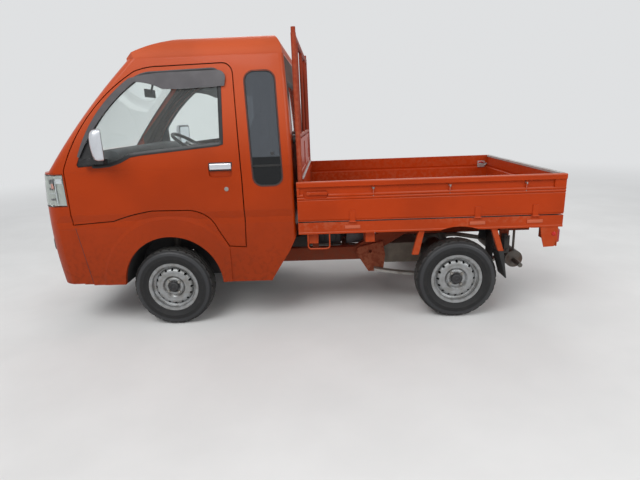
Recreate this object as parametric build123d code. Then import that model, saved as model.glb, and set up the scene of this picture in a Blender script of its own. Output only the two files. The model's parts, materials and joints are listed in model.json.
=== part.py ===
from build123d import *
import functools
import math
import os

# Kei truck with an extended, high-roofed cab and a drop-sided bed. Millimetres, +Z up.
# While it is modelled, x is measured back from the front axle, y is 0 on the centre line
# with the left side negative, and z is 0 on the ground. The last step moves the origin to
# the middle of the length, on the ground, with the front of the truck towards -X.

# Driving sizes
LENGTH = 3395
WHEELBASE = 1900
FRONT_OVERHANG = 835
TRACK_FRONT = 1304
TRACK_REAR = 1300
REAR_END = LENGTH - FRONT_OVERHANG
SEAT_GAP = 0.3  # between fixed pieces that seat on each other
SHUT_GAP = 7  # between a door or gate and what frames it

# Tyre and rim, as a 145/80R12 tyre on a 4.00B rim
TYRE_R = 268
TYRE_W = 145
BEAD_R = 152
FLANGE_R = 168
RIM_W = 112
RIM_T = 5
VENT_CIRCLE_R = 119
VENT_R = 8.5
VENT_COUNT = 16
DISC_FACE = 28  # from the wheel's middle plane out to the face that meets the hub

# Cab walls, measured in from the outer skin
SKIN = 20
LANDING = 25
WALL = 60
CAB_BOTTOM = 305
BELT_Z = 1062
EAVES_Z = 1725
CAB_REAR = 846
CAB_TOP_REAR = 820
HALF_W = 737
LOWER_HALF_W = 731  # the lower body stands in from the shoulder above its crease
CREASE_HALF_W = 727
REAR_CORNER = 30
CREASE_Z = 738
SHOULDER_Z = 786

# Plan sections of the cab: height, front x, bow of the front, half width, corner radius, rear x
LOWER_SECTIONS = [
    (CAB_BOTTOM, -790, 20, HALF_W - 4, 150, CAB_REAR),
    (700, -822, 20, HALF_W, 150, CAB_REAR),
    (BELT_Z, -800, 20, HALF_W - 2, 150, CAB_REAR),
]
UPPER_SECTIONS = [
    (BELT_Z, -788, 62, 734, 72, CAB_REAR),
    (1390, -520, 52, 697, 70, CAB_REAR - 8),
    (EAVES_Z, -200, 50, 645, 66, CAB_TOP_REAR),
]
SCREEN_SLOPE = 1.3  # horizontal thickness of the sloping front for 1 of real thickness
FLARE_R = 440  # the flare round the front wheel arch keeps the full width out to here
FLARE_RUN = 48  # how far the flare takes to sink into the panel
HIGH_ROOF_Z = 1885
ROOF_T = 28

# Cab floor pan: low in front for the feet, raised behind to carry the seats
PAN_T = 12
PEDAL_FLOOR_Z = 448
DECK_Z = 678
RISER_X = -325

# Door, seen from the side
DOOR_FRONT = -596
DOOR_REAR = 526
DOOR_REAR_TOP = 507
DOOR_TOP = 1682
SAIL_REAR = -398
NOSE_REAR = DOOR_FRONT - SHUT_GAP / 2  # where the nose panels end and the fenders begin

# Front wheel arch
ARCH_X = 21
ARCH_Z = 296
ARCH_R = 329
HOUSING_T = 4
HOUSING_Y = 424  # inner wall of the wheel housing

# Bumper, headlamps and grilles
BUMPER_TOP = 690
BUMPER_BOTTOM = 317
SEAM_FOOT_X = -526  # the seam behind the bumper leans back to here at the bottom
BUMPER_SECTIONS = [
    (BUMPER_BOTTOM, -798, 34, 720, 165),
    (500, -832.3, 34, 724, 165),
    (BUMPER_TOP, -828, 34, 724, 165),
]
LAMP_REAR = -606
GRILLE_DEPTH = 12

# Seats
SEAT_Y = 330
DECK_TOP = DECK_Z + PAN_T

# Bed
BED_FRONT = 866
FLOOR_Z = 665
FLOOR_T = 15
SILL_BOTTOM = 612
SILL_TOP = 688
SILL_T = 35
GATE_BOTTOM = SILL_TOP + SHUT_GAP
GATE_TOP = 950
GATE_T = 26
GATE_Y = 726.5  # outer face of a side gate
GATE_FLANGE = 7  # the top flange stands proud of that face
SIDE_GATE_REAR = 2550
TAILGATE_GAP = 7
PIVOT_OUT = 5.6  # from a gate's outer face to its hinge pin
PIN_R = 3
KNUCKLE_R = 5.2
STRAP_W = 36
SIDE_HINGES = (1215, 2010, 2372)
TAIL_HINGES = (-500, 0, 500)
TAILGATE_REAR = REAR_END - PIVOT_OUT - KNUCKLE_R
BAND_BOTTOM = 870  # the sunk band under a gate's top flange
BAND_TOP = 912
BAND_DEPTH = 9
BAND_RIBS = (1350, 1830, 2305)
LEVER_FRONT = 905
LEVER_REAR = 1065

# Guard frame and headboard
GUARD_X = 888
POST_R = 16
POST_Y = 672
POST_TOP = 1862
HORN_R = 14
HORN_Z = 1830  # where each post steps down to its horn
CROSSBAR_Z = 1812
HEADBOARD_TOP = 1215
BOARD_T = 16

# Ladder frame
RAIL_Y = 385
RAIL_W = 50
RAIL_H = 95
RAIL_BOTTOM = 445
RAIL_LOW = 335  # under the rail between the cab and the rear springs
BED_REST_Z = 540  # where the bed's front cross members rest

# Engine and drive line
ENGINE_REAR = 560
GEARBOX_REAR = 900
NOSE_FRONT = 1780  # front of the axle's nose
NOSE_Z = 285
SHAFT_LEAN = 2.05  # keeps the leaning shaft's edge off the flanges

# Rear springs
SPRING_Y = 455
SPRING_W = 50
SPRING_SEAT_Z = 212
SPRING_T = 18
SPRING_CLEAR = 0.8  # between the spring's curved top and the axle's flat seat

# Steering and front suspension
KNUCKLE_LOW = (600, 190)  # y and z of the lower ball joint
KNUCKLE_TOP = (500, 622)  # y and z of the strut's upper mount
HUB_Z = TYRE_R
WHEEL_FRONT_Y = TRACK_FRONT / 2
WHEEL_REAR_Y = TRACK_REAR / 2
STEERING_WHEEL_AT = Vector(-88, 350, 1155)
STEERING_AXIS = Vector(0.545, 0, 0.839)


def outline(start, *steps):
    """A face from a start point, points that lines run to, and (via, end) pairs for arcs."""
    edges = []
    here = start
    for step in steps:
        if isinstance(step[0], tuple):
            edges.append(ThreePointArc(here, step[0], step[1]))
            here = step[1]
        else:
            edges.append(Line(here, step))
            here = step
    if math.dist(here, start) > 1e-6:
        edges.append(Line(here, start))
    return make_face(Curve() + edges)


def side_prism(face, y_from, y_to):
    """A face drawn in x and z, carried from y_from to y_to."""
    return extrude(Plane.XZ.offset(-y_to) * face, amount=y_to - y_from)


def front_prism(face, x_from, x_to):
    """A face drawn in y and z, carried from x_from to x_to."""
    return extrude(Plane.YZ.offset(x_from) * face, amount=x_to - x_from)


def plan_prism(face, z_from, z_to):
    """A face drawn in x and y, carried from z_from to z_to."""
    return extrude(Plane.XY.offset(z_from) * face, amount=z_to - z_from)


def block(x0, x1, y0, y1, z0, z1):
    return Pos((x0 + x1) / 2, (y0 + y1) / 2, (z0 + z1) / 2) * Box(x1 - x0, y1 - y0, z1 - z0)


def rounded(x0, x1, z0, z1, radius):
    """A rectangle with round corners, drawn about its own place."""
    return Pos((x0 + x1) / 2, (z0 + z1) / 2) * RectangleRounded(x1 - x0, z1 - z0, radius)


def bar(start, end, radius):
    """A round bar between two points."""
    a = Vector(*start)
    b = Vector(*end)
    plane = Plane(origin=a, z_dir=b - a)
    return extrude(plane * Circle(radius), amount=(b - a).length)


def both_sides(shape):
    """The shape and its mirror image across the centre line."""
    return [shape, mirror(shape, about=Plane.XZ)]


def cab_section(z, front, bow, half, corner, rear, inset, slope):
    """Plan outline of the cab at one height, set in from the outer skin by inset."""
    x0 = front + inset * slope
    w = half - inset
    r = max(corner - inset, 8)
    q = max(REAR_CORNER - inset, 4)
    x1 = rear - inset
    y0 = w - r
    d = math.sqrt(0.5)
    xc = x0 + bow
    face = outline(
        (xc, -y0),
        ((x0, 0), (xc, y0)),
        ((xc + r - r * d, y0 + r * d), (xc + r, w)),
        (x1 - q, w),
        ((x1 - q + q * d, w - q + q * d), (x1, w - q)),
        (x1, q - w),
        ((x1 - q + q * d, q - w - q * d), (x1 - q, -w)),
        (xc + r, -w),
        ((xc + r - r * d, -y0 - r * d), (xc, -y0)),
    )
    return Plane.XY.offset(z) * face


@functools.cache
def cab_solid(inset):
    """The cab as one closed form, set in from the outer skin by inset."""
    lower = loft([cab_section(*row, inset, 1) for row in LOWER_SECTIONS])
    upper = loft([cab_section(*row, inset, SCREEN_SLOPE) for row in UPPER_SECTIONS])
    heel = outline(
        (CAB_REAR - inset + 90, 592),
        (CAB_REAR - inset, 592),
        (800 - inset, 500),
        (750 - inset, 425),
        (679 - inset, 312),
        (675 - inset, 200),
        (CAB_REAR - inset + 90, 200),
    )
    return lower + upper - side_prism(heel, -900, 900)


def door_outline():
    return outline(
        (DOOR_FRONT, 722),
        (-330, 738),
        ((-204, 775), (-67, 800)),
        (150, 797),
        ((280, 755), (348, 662)),
        (412, 550),
        (520, 542),
        (DOOR_REAR, 690),
        (DOOR_REAR, 1000),
        (DOOR_REAR_TOP, 1620),
        ((DOOR_REAR_TOP - 20, 1664), (DOOR_REAR_TOP - 62, DOOR_TOP)),
        (73, DOOR_TOP - 6),
        ((-20, 1671), (-97, 1652)),
        ((-330, 1478), (DOOR_FRONT, 1075)),
    )


def door_window_outline():
    return outline(
        (410, 1208),
        (418, 1600),
        ((408, 1628), (380, 1640)),
        (20, 1632),
        ((-40, 1626), (-90, 1606)),
        ((-318, 1415), (-508, 1106)),
        (-500, 1090),
        (-300, 1103),
        (-233, 1124),
        (-167, 1157),
        (-100, 1166),
    )


def quarter_outline():
    return fillet(
        outline((600, 937), (785, 937), (761, 1628), (573, 1628)).vertices(), 58
    )


def screen_outline():
    return fillet(
        outline((-628, BELT_Z + 26), (628, BELT_Z + 26), (548, 1640), (-548, 1640)).vertices(), 60
    )


REAR_WINDOW = rounded(-545, 545, 1190, 1560, 45)
OUTER = cab_solid(0)
SKIN_LAYER = OUTER - cab_solid(SKIN)
LANDING_SOLID = cab_solid(LANDING)
INNER = cab_solid(WALL)
PANEL_LAYER = OUTER - cab_solid(LANDING - SEAT_GAP)
INSIDE = cab_solid(WALL + SEAT_GAP)
GLASS_LAYER = cab_solid(4) - cab_solid(9)
SIDE = 900  # past the truck's side
LEFT = (-SIDE, -400)  # y range that holds the left side of the cab


def grown(face, amount):
    return offset(face, amount=amount, kind=Kind.ARC)


def shoulder_cut():
    """What comes off the left side: a slope in to the crease, and the face below it."""
    face = outline(
        (-SIDE, SHOULDER_Z),
        (-HALF_W, SHOULDER_Z),
        (-CREASE_HALF_W, CREASE_Z),
        (-LOWER_HALF_W, 700),
        (3 - LOWER_HALF_W, CAB_BOTTOM - 5),
        (-SIDE, CAB_BOTTOM - 5),
    )
    return front_prism(face, -705, CAB_REAR + 10)


def fender_outline():
    """The lower side panel round the front wheel, under the door."""
    band = outline(
        (SEAM_FOOT_X + SEAT_GAP, CAB_BOTTOM),
        (NOSE_REAR + SEAT_GAP, BUMPER_TOP),
        (NOSE_REAR + SEAT_GAP, 820),
        (412, 820),
        (412, CAB_BOTTOM),
    )
    return band - grown(door_outline(), SHUT_GAP / 2) - Pos(ARCH_X, ARCH_Z) * Circle(ARCH_R)


def make_cab_body():
    ceiling = INNER & block(-400, 1000, -SIDE, SIDE, EAVES_Z - 30, EAVES_Z)
    sunk = plan_prism(rounded(-40, 772, -578, 578, 60), EAVES_Z - 200, EAVES_Z + 50)
    body = OUTER - (INNER - (ceiling - sunk))
    outer_layer = OUTER - LANDING_SOLID
    landing_layer = LANDING_SOLID - INNER
    door = door_outline()
    skirt = outline((-700, 200), (-700, 760), (412, 830), (412, 200))
    nose = block(-900, NOSE_REAR, -SIDE, SIDE, 0, BELT_Z)
    outer_cut = side_prism(grown(door, SHUT_GAP / 2) + skirt, -SIDE, SIDE) + nose
    body -= [
        sunk,
        *both_sides(shoulder_cut()),
        outer_cut & outer_layer,
        side_prism(grown(door, -12), -SIDE, SIDE) & landing_layer,
        side_prism(quarter_outline(), -SIDE, SIDE),
        side_prism(Pos(ARCH_X, ARCH_Z) * Circle(ARCH_R + HOUSING_T + SEAT_GAP), -SIDE, SIDE),
        block(-900, 900, -640, 640, 0, PEDAL_FLOOR_Z - 2),
        block(-900, NOSE_REAR, -SIDE, SIDE, 0, PEDAL_FLOOR_Z - 2),
        block(600, 900, -640, 640, 0, 600),
        front_prism(screen_outline(), -900, 100),
        front_prism(REAR_WINDOW, 700, 900),
    ]
    return body


def make_fender():
    """The left fender: a lower side panel that swells into a flare round the wheel arch."""
    panel = side_prism(fender_outline(), *LEFT) & PANEL_LAYER
    swell = Cone(FLARE_R + FLARE_RUN, FLARE_R, HALF_W - CREASE_HALF_W + 4)
    swell = Pos(ARCH_X, -(HALF_W + CREASE_HALF_W) / 2, ARCH_Z) * (Rot(90, 0, 0) * swell)
    return panel - (shoulder_cut() - swell)


def make_door():
    skin = side_prism(grown(door_outline(), -SHUT_GAP / 2), *LEFT) & SKIN_LAYER
    inner = side_prism(grown(door_outline(), -22), *LEFT) & (cab_solid(SKIN) - INNER)
    scoop = side_prism(rounded(322, 467, 1000, 1088, 22), *LEFT) - cab_solid(14)
    return skin + inner - [side_prism(door_window_outline(), *LEFT), scoop, shoulder_cut()]


def make_door_glass():
    pane = grown(door_window_outline(), -SEAT_GAP)
    pane = pane & Pos(500 + SAIL_REAR + SEAT_GAP, 1300) * Rectangle(1000, 1000)
    return side_prism(pane, *LEFT) & GLASS_LAYER


def visor_outline():
    return outline(
        (455, 1547),
        (177, 1538),
        (74, 1542),
        ((10, 1570), (-97, 1590)),
        ((-312, 1396), (-480, 1150)),
        (-492, 1158),
        ((-334, 1428), (-131, 1611)),
        ((-30, 1630), (74, 1638)),
        (416, 1641),
        ((452, 1625), (463, 1589)),
    )


def make_visor():
    return side_prism(visor_outline(), *LEFT) & (cab_solid(-12) - cab_solid(-SEAT_GAP))


def roof_side(t):
    """Side outline of the raised roof, set in by t."""
    return outline(
        (-196 + 2 * t, EAVES_Z),
        ((-70 + t, 1786 - t), (90, 1832 - t)),
        ((290, 1869 - t), (480, HIGH_ROOF_Z - t)),
        (680 - t, HIGH_ROOF_Z - 3 - t),
        ((770 - t, 1835 - t), (812 - t, EAVES_Z)),
    )


def roof_cross(t):
    """Cross outline of the raised roof, set in by t."""
    return outline(
        (t - 632, EAVES_Z),
        ((t - 592, 1802 - t), (t - 480, 1848 - t)),
        ((0, HIGH_ROOF_Z - t), (480 - t, 1848 - t)),
        ((592 - t, 1802 - t), (632 - t, EAVES_Z)),
    )


def roof_plan(t):
    """Plan outline of the raised roof at its foot, set in by t."""
    return outline(
        (-170 + 2 * t, -560),
        ((-196 + 2 * t, 0), (-170 + 2 * t, 560)),
        (-100 + t, 632 - t),
        (812 - t, 632 - t),
        (812 - t, t - 632),
        (-100 + t, t - 632),
    )


def roof_solid(t, foot):
    form = side_prism(roof_side(t), -700, 700) & front_prism(roof_cross(t), -300, 900)
    return form & plan_prism(roof_plan(t), foot, 2000)


def make_high_roof():
    return roof_solid(0, EAVES_Z + SEAT_GAP) - roof_solid(ROOF_T, EAVES_Z - 5)


def make_cab_floor():
    t = PAN_T
    sheet = outline(
        (-760, PEDAL_FLOOR_Z),
        (RISER_X, PEDAL_FLOOR_Z),
        (RISER_X, DECK_Z),
        (790, DECK_Z),
        (790, DECK_Z + t),
        (RISER_X - t, DECK_Z + t),
        (RISER_X - t, PEDAL_FLOOR_Z + t),
        (-760, PEDAL_FLOOR_Z + t),
    )
    floor = side_prism(sheet, -700, 700) & INSIDE
    ring = Pos(ARCH_X, ARCH_Z) * (Circle(ARCH_R + HOUSING_T) - Circle(ARCH_R))
    ring = ring & Pos(ARCH_X, ARCH_Z + 250) * Rectangle(900, 480)
    web = outline((-324, 500), (-324, DECK_Z + 2), (370, DECK_Z + 2), (370, 500))
    web = web - Pos(ARCH_X, ARCH_Z) * Circle(ARCH_R)
    for y0, y1 in ((-HALF_W, -HOUSING_Y), (HOUSING_Y, HALF_W)):
        floor += side_prism(ring, y0, y1) & LANDING_SOLID
    floor += side_prism(web, -HOUSING_Y - HOUSING_T, -HOUSING_Y)
    floor += side_prism(web, HOUSING_Y, HOUSING_Y + HOUSING_T)
    return floor


def upper_grille_outline():
    return rounded(-385, 385, 896, 986, 26)


def intake_outline():
    return rounded(-335, 335, 380, 472, 24)


def fog_outline():
    """A fog lamp's bezel from the front, on the right-hand side of the truck."""
    return rounded(452, 606, 516, 626, 34)


def both_fronts(face, x_from, x_to):
    """A face drawn on the right-hand side, and its mirror image, as front prisms."""
    one = front_prism(face, x_from, x_to)
    return one + mirror(one, about=Plane.XZ)


def make_front_panel():
    nose = block(-900, NOSE_REAR, -SIDE, SIDE, BUMPER_TOP + SEAT_GAP, BELT_Z)
    pocket = front_prism(upper_grille_outline(), -900, -700) - cab_solid(GRILLE_DEPTH)
    panel = (PANEL_LAYER & nose) - pocket
    panel -= both_fronts(grown(lamp_outline(), SEAT_GAP), -900, LAMP_REAR)
    return panel - both_sides(shoulder_cut())


def lamp_outline():
    """A headlamp from the front, on the right-hand side of the truck."""
    return fillet(
        outline((430, 890), (560, 845), (760, 845), (760, 1052), (430, 1052)).vertices(), 28
    )


def make_headlamps():
    lens = (cab_solid(-3) - cab_solid(LANDING - SEAT_GAP)) & both_fronts(lamp_outline(), -900, LAMP_REAR)
    return lens & block(-900, 0, -HALF_W, HALF_W, 0, BELT_Z)


def make_front_bumper():
    """A shell that wraps round the nose, with an air intake and a bezel at each corner."""
    side = outline(
        (-900, BUMPER_BOTTOM),
        (SEAM_FOOT_X + (NOSE_REAR - SEAM_FOOT_X) * 12 / (BUMPER_TOP - CAB_BOTTOM), BUMPER_BOTTOM),
        (NOSE_REAR, BUMPER_TOP),
        (-900, BUMPER_TOP),
    )
    reach = side_prism(side, -SIDE, SIDE)
    proud = loft([cab_section(*row, -500, 0, 1) for row in BUMPER_SECTIONS])
    shell = (proud & reach) + (OUTER & reach) - cab_solid(LANDING - SEAT_GAP)
    shell -= [front_prism(intake_outline(), -900, -700), *both_sides(shoulder_cut())]
    return shell - both_fronts(grown(fog_outline(), SEAT_GAP), -900, -700)


def make_front_grilles():
    """The insert between the headlamps and the slats in the bumper's intake."""
    face = grown(upper_grille_outline(), -SEAT_GAP)
    upper = front_prism(face, -900, -700) & (cab_solid(7) - cab_solid(GRILLE_DEPTH - SEAT_GAP))
    bars = Pos(0, 918) * Rectangle(740, 10) + Pos(0, 941) * Rectangle(740, 10) + Pos(0, 964) * Rectangle(740, 10)
    upper += front_prism(bars, -900, -700) & (cab_solid(1) - cab_solid(8))
    face = grown(intake_outline(), -SEAT_GAP)
    slats = Pos(0, 404) * Rectangle(700, 11) + Pos(0, 426) * Rectangle(700, 11) + Pos(0, 448) * Rectangle(700, 11)
    for y in (-167, 0, 167):
        slats += Pos(y, 426) * Rectangle(10, 100)
    frame = (face - grown(face, -9)) + (slats & face)
    return [upper, front_prism(frame, -814, -800)]


def make_fog_bezels():
    """Black bezels that stand out from the bumper's corners, with a round lamp in each."""
    bezel = front_prism(fog_outline(), -824, -786)
    bezel = fillet(bezel.faces().sort_by(Axis.X)[0].edges(), 10)
    bowl = Pos(-824, 529, 571) * (Rot(0, 90, 0) * Cylinder(40, 30))
    lamp = Pos(-812, 529, 571) * (Rot(0, 90, 0) * Cylinder(36, 14))
    return both_sides(bezel - bowl + lamp)


def make_dashboard():
    profile = outline(
        (-800, 790),
        (-800, 1060),
        (-640, 1130),
        ((-480, 1176), (-330, 1180)),
        ((-268, 1165), (-250, 1120)),
        (-246, 1010),
        (-330, 880),
        (-520, 800),
    )
    dash = side_prism(profile, -700, 700) & INSIDE
    axis = STEERING_AXIS.normalized()
    hub_end = STEERING_WHEEL_AT - axis * (34 + SEAT_GAP)
    foot = STEERING_WHEEL_AT - axis * ((STEERING_WHEEL_AT.Z - 470) / axis.Z)
    column = extrude(Plane(origin=hub_end, z_dir=-axis) * Circle(36), amount=190)
    shaft = extrude(Plane(origin=hub_end, z_dir=-axis) * Circle(15), amount=(foot - hub_end).length)
    y = STEERING_WHEEL_AT.Y
    bracket = block(-330, -215, y - 40, y + 40, 925, 1030)
    return dash + column + shaft + bracket


def make_steering_wheel():
    axis = STEERING_AXIS.normalized()
    plane = Plane(origin=STEERING_WHEEL_AT, x_dir=(0, 1, 0), z_dir=axis)
    ring = plane.location * Torus(170, 14)
    hub = plane.location * (Pos(0, 0, -12) * Cylinder(52, 44))
    wheel = ring + hub
    for angle in (0, 180, 270):
        spoke = Rot(0, 0, angle) * (Pos(108, 0, -4) * Box(120, 34, 12))
        wheel += plane.location * spoke
    return wheel


def make_seat_cushions():
    profile = outline(
        (70, DECK_TOP + SEAT_GAP),
        (60, 780),
        ((80, 806), (110, 810)),
        (470, 790),
        (500, DECK_TOP + SEAT_GAP),
    )
    return both_sides(side_prism(profile, -SEAT_Y - 245, -SEAT_Y + 245))


def make_seat_backs():
    profile = outline(
        (505, DECK_TOP + SEAT_GAP),
        (470 + 5, 800),
        (545, 1230),
        ((560, 1290), (600, 1390)),
        ((625, 1420), (650, 1400)),
        (640, 1240),
        (590, DECK_TOP + SEAT_GAP),
    )
    wide = side_prism(profile, -SEAT_Y - 240, -SEAT_Y + 240)
    head = block(450, 700, -SEAT_Y - 130, -SEAT_Y + 130, 1230, 1450)
    body = wide & block(300, 800, -700, 0, 0, 1245)
    return both_sides(body + (wide & head))


def sail_outline():
    """The plastic triangle in the front corner of the door window, which carries the mirror."""
    return door_window_outline() & Pos(SAIL_REAR - 500, 1300) * Rectangle(1000, 1000)


def make_mirror():
    housing = Pos(-318, -830, 1229) * Box(58, 150, 184)
    housing = fillet(housing.edges().filter_by(Axis.Y), 24)
    housing = fillet(housing.faces().sort_by(Axis.Y)[0].edges(), 16)
    housing -= block(-292, -280, -894, -768, 1152, 1306)
    sail = side_prism(grown(sail_outline(), -SEAT_GAP), *LEFT) & (cab_solid(2) - cab_solid(14))
    foot = block(-452, -412, -758, -722, 1108, 1140)
    arm = block(-452, -300, -790, -742, 1112, 1140)
    post = block(-345, -300, -800, -765, 1112, 1160)
    return housing + sail + foot + arm + post


def wheel_face():
    """Half section of the rim and disc: x is along the axle, y is the radius."""
    w = RIM_W / 2
    r = BEAD_R
    t = RIM_T
    return outline(
        (-w, FLANGE_R),
        (-w + 6, FLANGE_R),
        (-w + 8, r),
        (-w + 28, r - 2),
        (-w + 36, r - 18),
        (w - 36, r - 18),
        (w - 28, r - 2),
        (w - 8, r),
        (w - 6, FLANGE_R),
        (w, FLANGE_R),
        (w - 3, r - t),
        (w - 26, r - t - 2),
        (w - 34, r - 18 - t),
        (-w + 44, r - 18 - t),
        ((-w + 25, 119), (-w + 19, 92)),
        (-w + 20, 76),
        (-w + 28, 68),
        (-w + 28, 30),
        (-w + 12, 27),
        (-w + 10, 0),
        (-w + 4, 0),
        (-w + 5, 27),
        (-w + 21, 34),
        (-w + 21, 64),
        (-w + 11, 75),
        (-w + 11, 92),
        ((-w + 16, 119), (-w + 30, r - 18 - t)),
        (-w + 22, r - t - 2),
        (-w + 3, r - t),
    )


@functools.cache
def make_rim():
    solid = Rot(0, 0, 90) * revolve(wheel_face(), axis=Axis.X)
    vent = Pos(0, 0, VENT_CIRCLE_R) * (Rot(90, 0, 0) * Cylinder(VENT_R, 200))
    return solid - [Rot(0, i * 360 / VENT_COUNT, 0) * vent for i in range(VENT_COUNT)]


@functools.cache
def make_tyre():
    w = TYRE_W / 2
    r = TYRE_R
    half = outline(
        (8.5 - RIM_W / 2, BEAD_R + SEAT_GAP),
        (6.4 - RIM_W / 2, FLANGE_R + SEAT_GAP),
        (-57, FLANGE_R + SEAT_GAP),
        ((-w, 212), (-w + 14, r - 16)),
        ((-w + 22, r - 6), (-w + 34, r - 3)),
        ((0, r), (w - 34, r - 3)),
        ((w - 22, r - 6), (w - 14, r - 16)),
        ((w, 212), (57, FLANGE_R + SEAT_GAP)),
        (RIM_W / 2 - 6.4, FLANGE_R + SEAT_GAP),
        (RIM_W / 2 - 8.5, BEAD_R + SEAT_GAP),
    )
    return Rot(0, 0, 90) * revolve(half, axis=Axis.X)


def make_chassis_frame():
    rail = outline(
        (-700, 335),
        (-280, 335),
        (-150, RAIL_BOTTOM),
        (430, RAIL_BOTTOM),
        (620, RAIL_LOW),
        (1300, RAIL_LOW),
        (1600, 515),
        (2480, 515),
        (2480, 600),
        (1540, 600),
        (1240, RAIL_LOW + RAIL_H),
        (650, RAIL_LOW + RAIL_H),
        (460, RAIL_BOTTOM + RAIL_H),
        (-180, RAIL_BOTTOM + RAIL_H),
        (-310, 425),
        (-700, 425),
    )
    frame = side_prism(rail, RAIL_Y - RAIL_W / 2, RAIL_Y + RAIL_W / 2)
    frame += side_prism(rail, -RAIL_Y - RAIL_W / 2, -RAIL_Y + RAIL_W / 2)
    low_top = RAIL_LOW + RAIL_H
    for x, z0, z1 in ((-680, 340, 420), (710, 450, 535), (1180, 375, 425), (1620, 530, 590), (2440, 530, 590)):
        frame += block(x - 25, x + 25, -RAIL_Y, RAIL_Y, z0, z1)
    mounts = ((-600, 425, PEDAL_FLOOR_Z), (710, low_top, DECK_Z), (960, low_top, BED_REST_Z), (1330, 465, BED_REST_Z))
    for x, z0, z1 in mounts:
        for y in (-RAIL_Y, RAIL_Y):
            frame += block(x - 22, x + 22, y - 22, y + 22, z0 - 5, z1 - SEAT_GAP)
    return frame


def gate_strap():
    """The gate's half of a hinge: a knuckle and a strap up the gate. Pin along X, outside at -Y."""
    strap = block(-STRAP_W / 2, STRAP_W / 2, 1, PIVOT_OUT + 3, 2, 72)
    knuckle = Rot(0, 90, 0) * Cylinder(KNUCKLE_R, STRAP_W)
    return strap + knuckle - Rot(0, 90, 0) * Cylinder(PIN_R + SEAT_GAP, STRAP_W + 2)


def hinge_seat():
    """The floor's half of a hinge: two lugs on the sill and the pin between them."""
    half = STRAP_W / 2 + 1
    seat = Rot(0, 90, 0) * Cylinder(PIN_R, 2 * half + 12)
    for x in (-half - 6, half):
        seat += block(x, x + 6, 0, PIVOT_OUT + 3, -12, PIN_R)
    return seat


def side_hinge_place(x):
    return Pos(x, -GATE_Y - PIVOT_OUT, SILL_TOP)


def tail_hinge_place(y):
    return Pos(TAILGATE_REAR + PIVOT_OUT, y, SILL_TOP) * Rot(0, 0, 90)


def sill_outline():
    """Cross section of the left sill, with a lip along its foot."""
    return outline(
        (-GATE_Y + SILL_T, SILL_BOTTOM),
        (-GATE_Y - 3, SILL_BOTTOM),
        (-GATE_Y - 3, SILL_BOTTOM + 9),
        (-GATE_Y, SILL_BOTTOM + 13),
        (-GATE_Y, SILL_TOP),
        (-GATE_Y + SILL_T, SILL_TOP),
    )


def make_bed_floor():
    x0, x1 = BED_FRONT, TAILGATE_REAR
    floor = block(x0, x1, -GATE_Y + 5, GATE_Y - 5, FLOOR_Z - FLOOR_T, FLOOR_Z)
    for sill in both_sides(front_prism(sill_outline(), x0, x1)):
        floor += sill
    floor += block(x1 - SILL_T, x1, -GATE_Y, GATE_Y, SILL_BOTTOM, SILL_TOP)
    for x in (960, 1330):
        floor += block(x - 30, x + 30, -690, 690, BED_REST_Z, FLOOR_Z - FLOOR_T)
    for x in (1700, 2080, 2400):
        floor += block(x - 30, x + 30, -690, 690, 600 + SEAT_GAP, FLOOR_Z - FLOOR_T)
    arch = Pos(WHEELBASE, HUB_Z) * Circle(365)
    cuts = [side_prism(arch, -SIDE, -560), side_prism(arch, 560, SIDE)]
    for y in range(-560, 561, 140):
        cuts.append(block(940, 2480, y - 11, y + 11, FLOOR_Z - 4, FLOOR_Z + 1))
    inside = GATE_Y - SILL_T
    cuts.append(block(912, 918, -inside, inside, FLOOR_Z - 4, FLOOR_Z + 1))
    floor -= cuts
    for x in SIDE_HINGES:
        plate = block(x - 50, x + 50, -GATE_Y - 3, -GATE_Y + 1, 642, 665)
        left = side_hinge_place(x) * hinge_seat() + plate
        floor += left + mirror(left, about=Plane.XZ)
    for y in TAIL_HINGES:
        floor += tail_hinge_place(y) * hinge_seat()
    return floor


def gate_section(direction):
    """Cross section of a gate. Depth is measured in from the outer face, along direction."""
    flange = -GATE_FLANGE
    points = [
        (4, GATE_BOTTOM),
        (4, 701),
        (0, 706),
        (0, 829),
        (4, 833),
        (-2, 839),
        (-2, 846),
        (4, 851),
        (-2, 857),
        (-2, 864),
        (BAND_DEPTH, BAND_BOTTOM),
        (BAND_DEPTH, BAND_TOP),
        (flange, 918),
        (flange, 944),
        (0, GATE_TOP),
        (GATE_T, GATE_TOP),
        (GATE_T, 864),
        (GATE_T - 4, 858),
        (GATE_T - 4, 848),
        (GATE_T, 842),
        (GATE_T, GATE_BOTTOM),
    ]
    return outline(*[(direction * depth, z) for depth, z in points])


def make_side_gate():
    face = Pos(-GATE_Y, 0) * gate_section(1)
    gate = front_prism(face, BED_FRONT, SIDE_GATE_REAR)
    ribs = [(x - 5, x + 5) for x in BAND_RIBS] + [(BED_FRONT, BED_FRONT + 16), (2479, SIDE_GATE_REAR)]
    for x0, x1 in ribs:
        gate += block(x0, x1, -GATE_Y, -GATE_Y + BAND_DEPTH + 1, BAND_BOTTOM - 4, BAND_TOP + 4)
    pocket = rounded(LEVER_FRONT, LEVER_REAR, 840, 894, 24)
    gate -= side_prism(pocket, -GATE_Y - 10, -GATE_Y + 14)
    lever = rounded(LEVER_FRONT + 22, LEVER_REAR - 4, 866, 884, 8)
    gate += side_prism(lever, -GATE_Y + 3, -GATE_Y + 15)
    for x in SIDE_HINGES:
        gate += side_hinge_place(x) * gate_strap()
    return gate


def make_tailgate():
    half = GATE_Y - GATE_T - TAILGATE_GAP
    gate = side_prism(Pos(TAILGATE_REAR, 0) * gate_section(-1), -half, half)
    ribs = [(y - 5, y + 5) for y in (-330, 0, 330)] + [(-half, 60 - half), (half - 60, half)]
    for y0, y1 in ribs:
        gate += block(TAILGATE_REAR - BAND_DEPTH - 1, TAILGATE_REAR, y0, y1, BAND_BOTTOM - 4, BAND_TOP + 4)
    for y in TAIL_HINGES:
        gate += tail_hinge_place(y) * gate_strap()
    return gate


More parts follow.
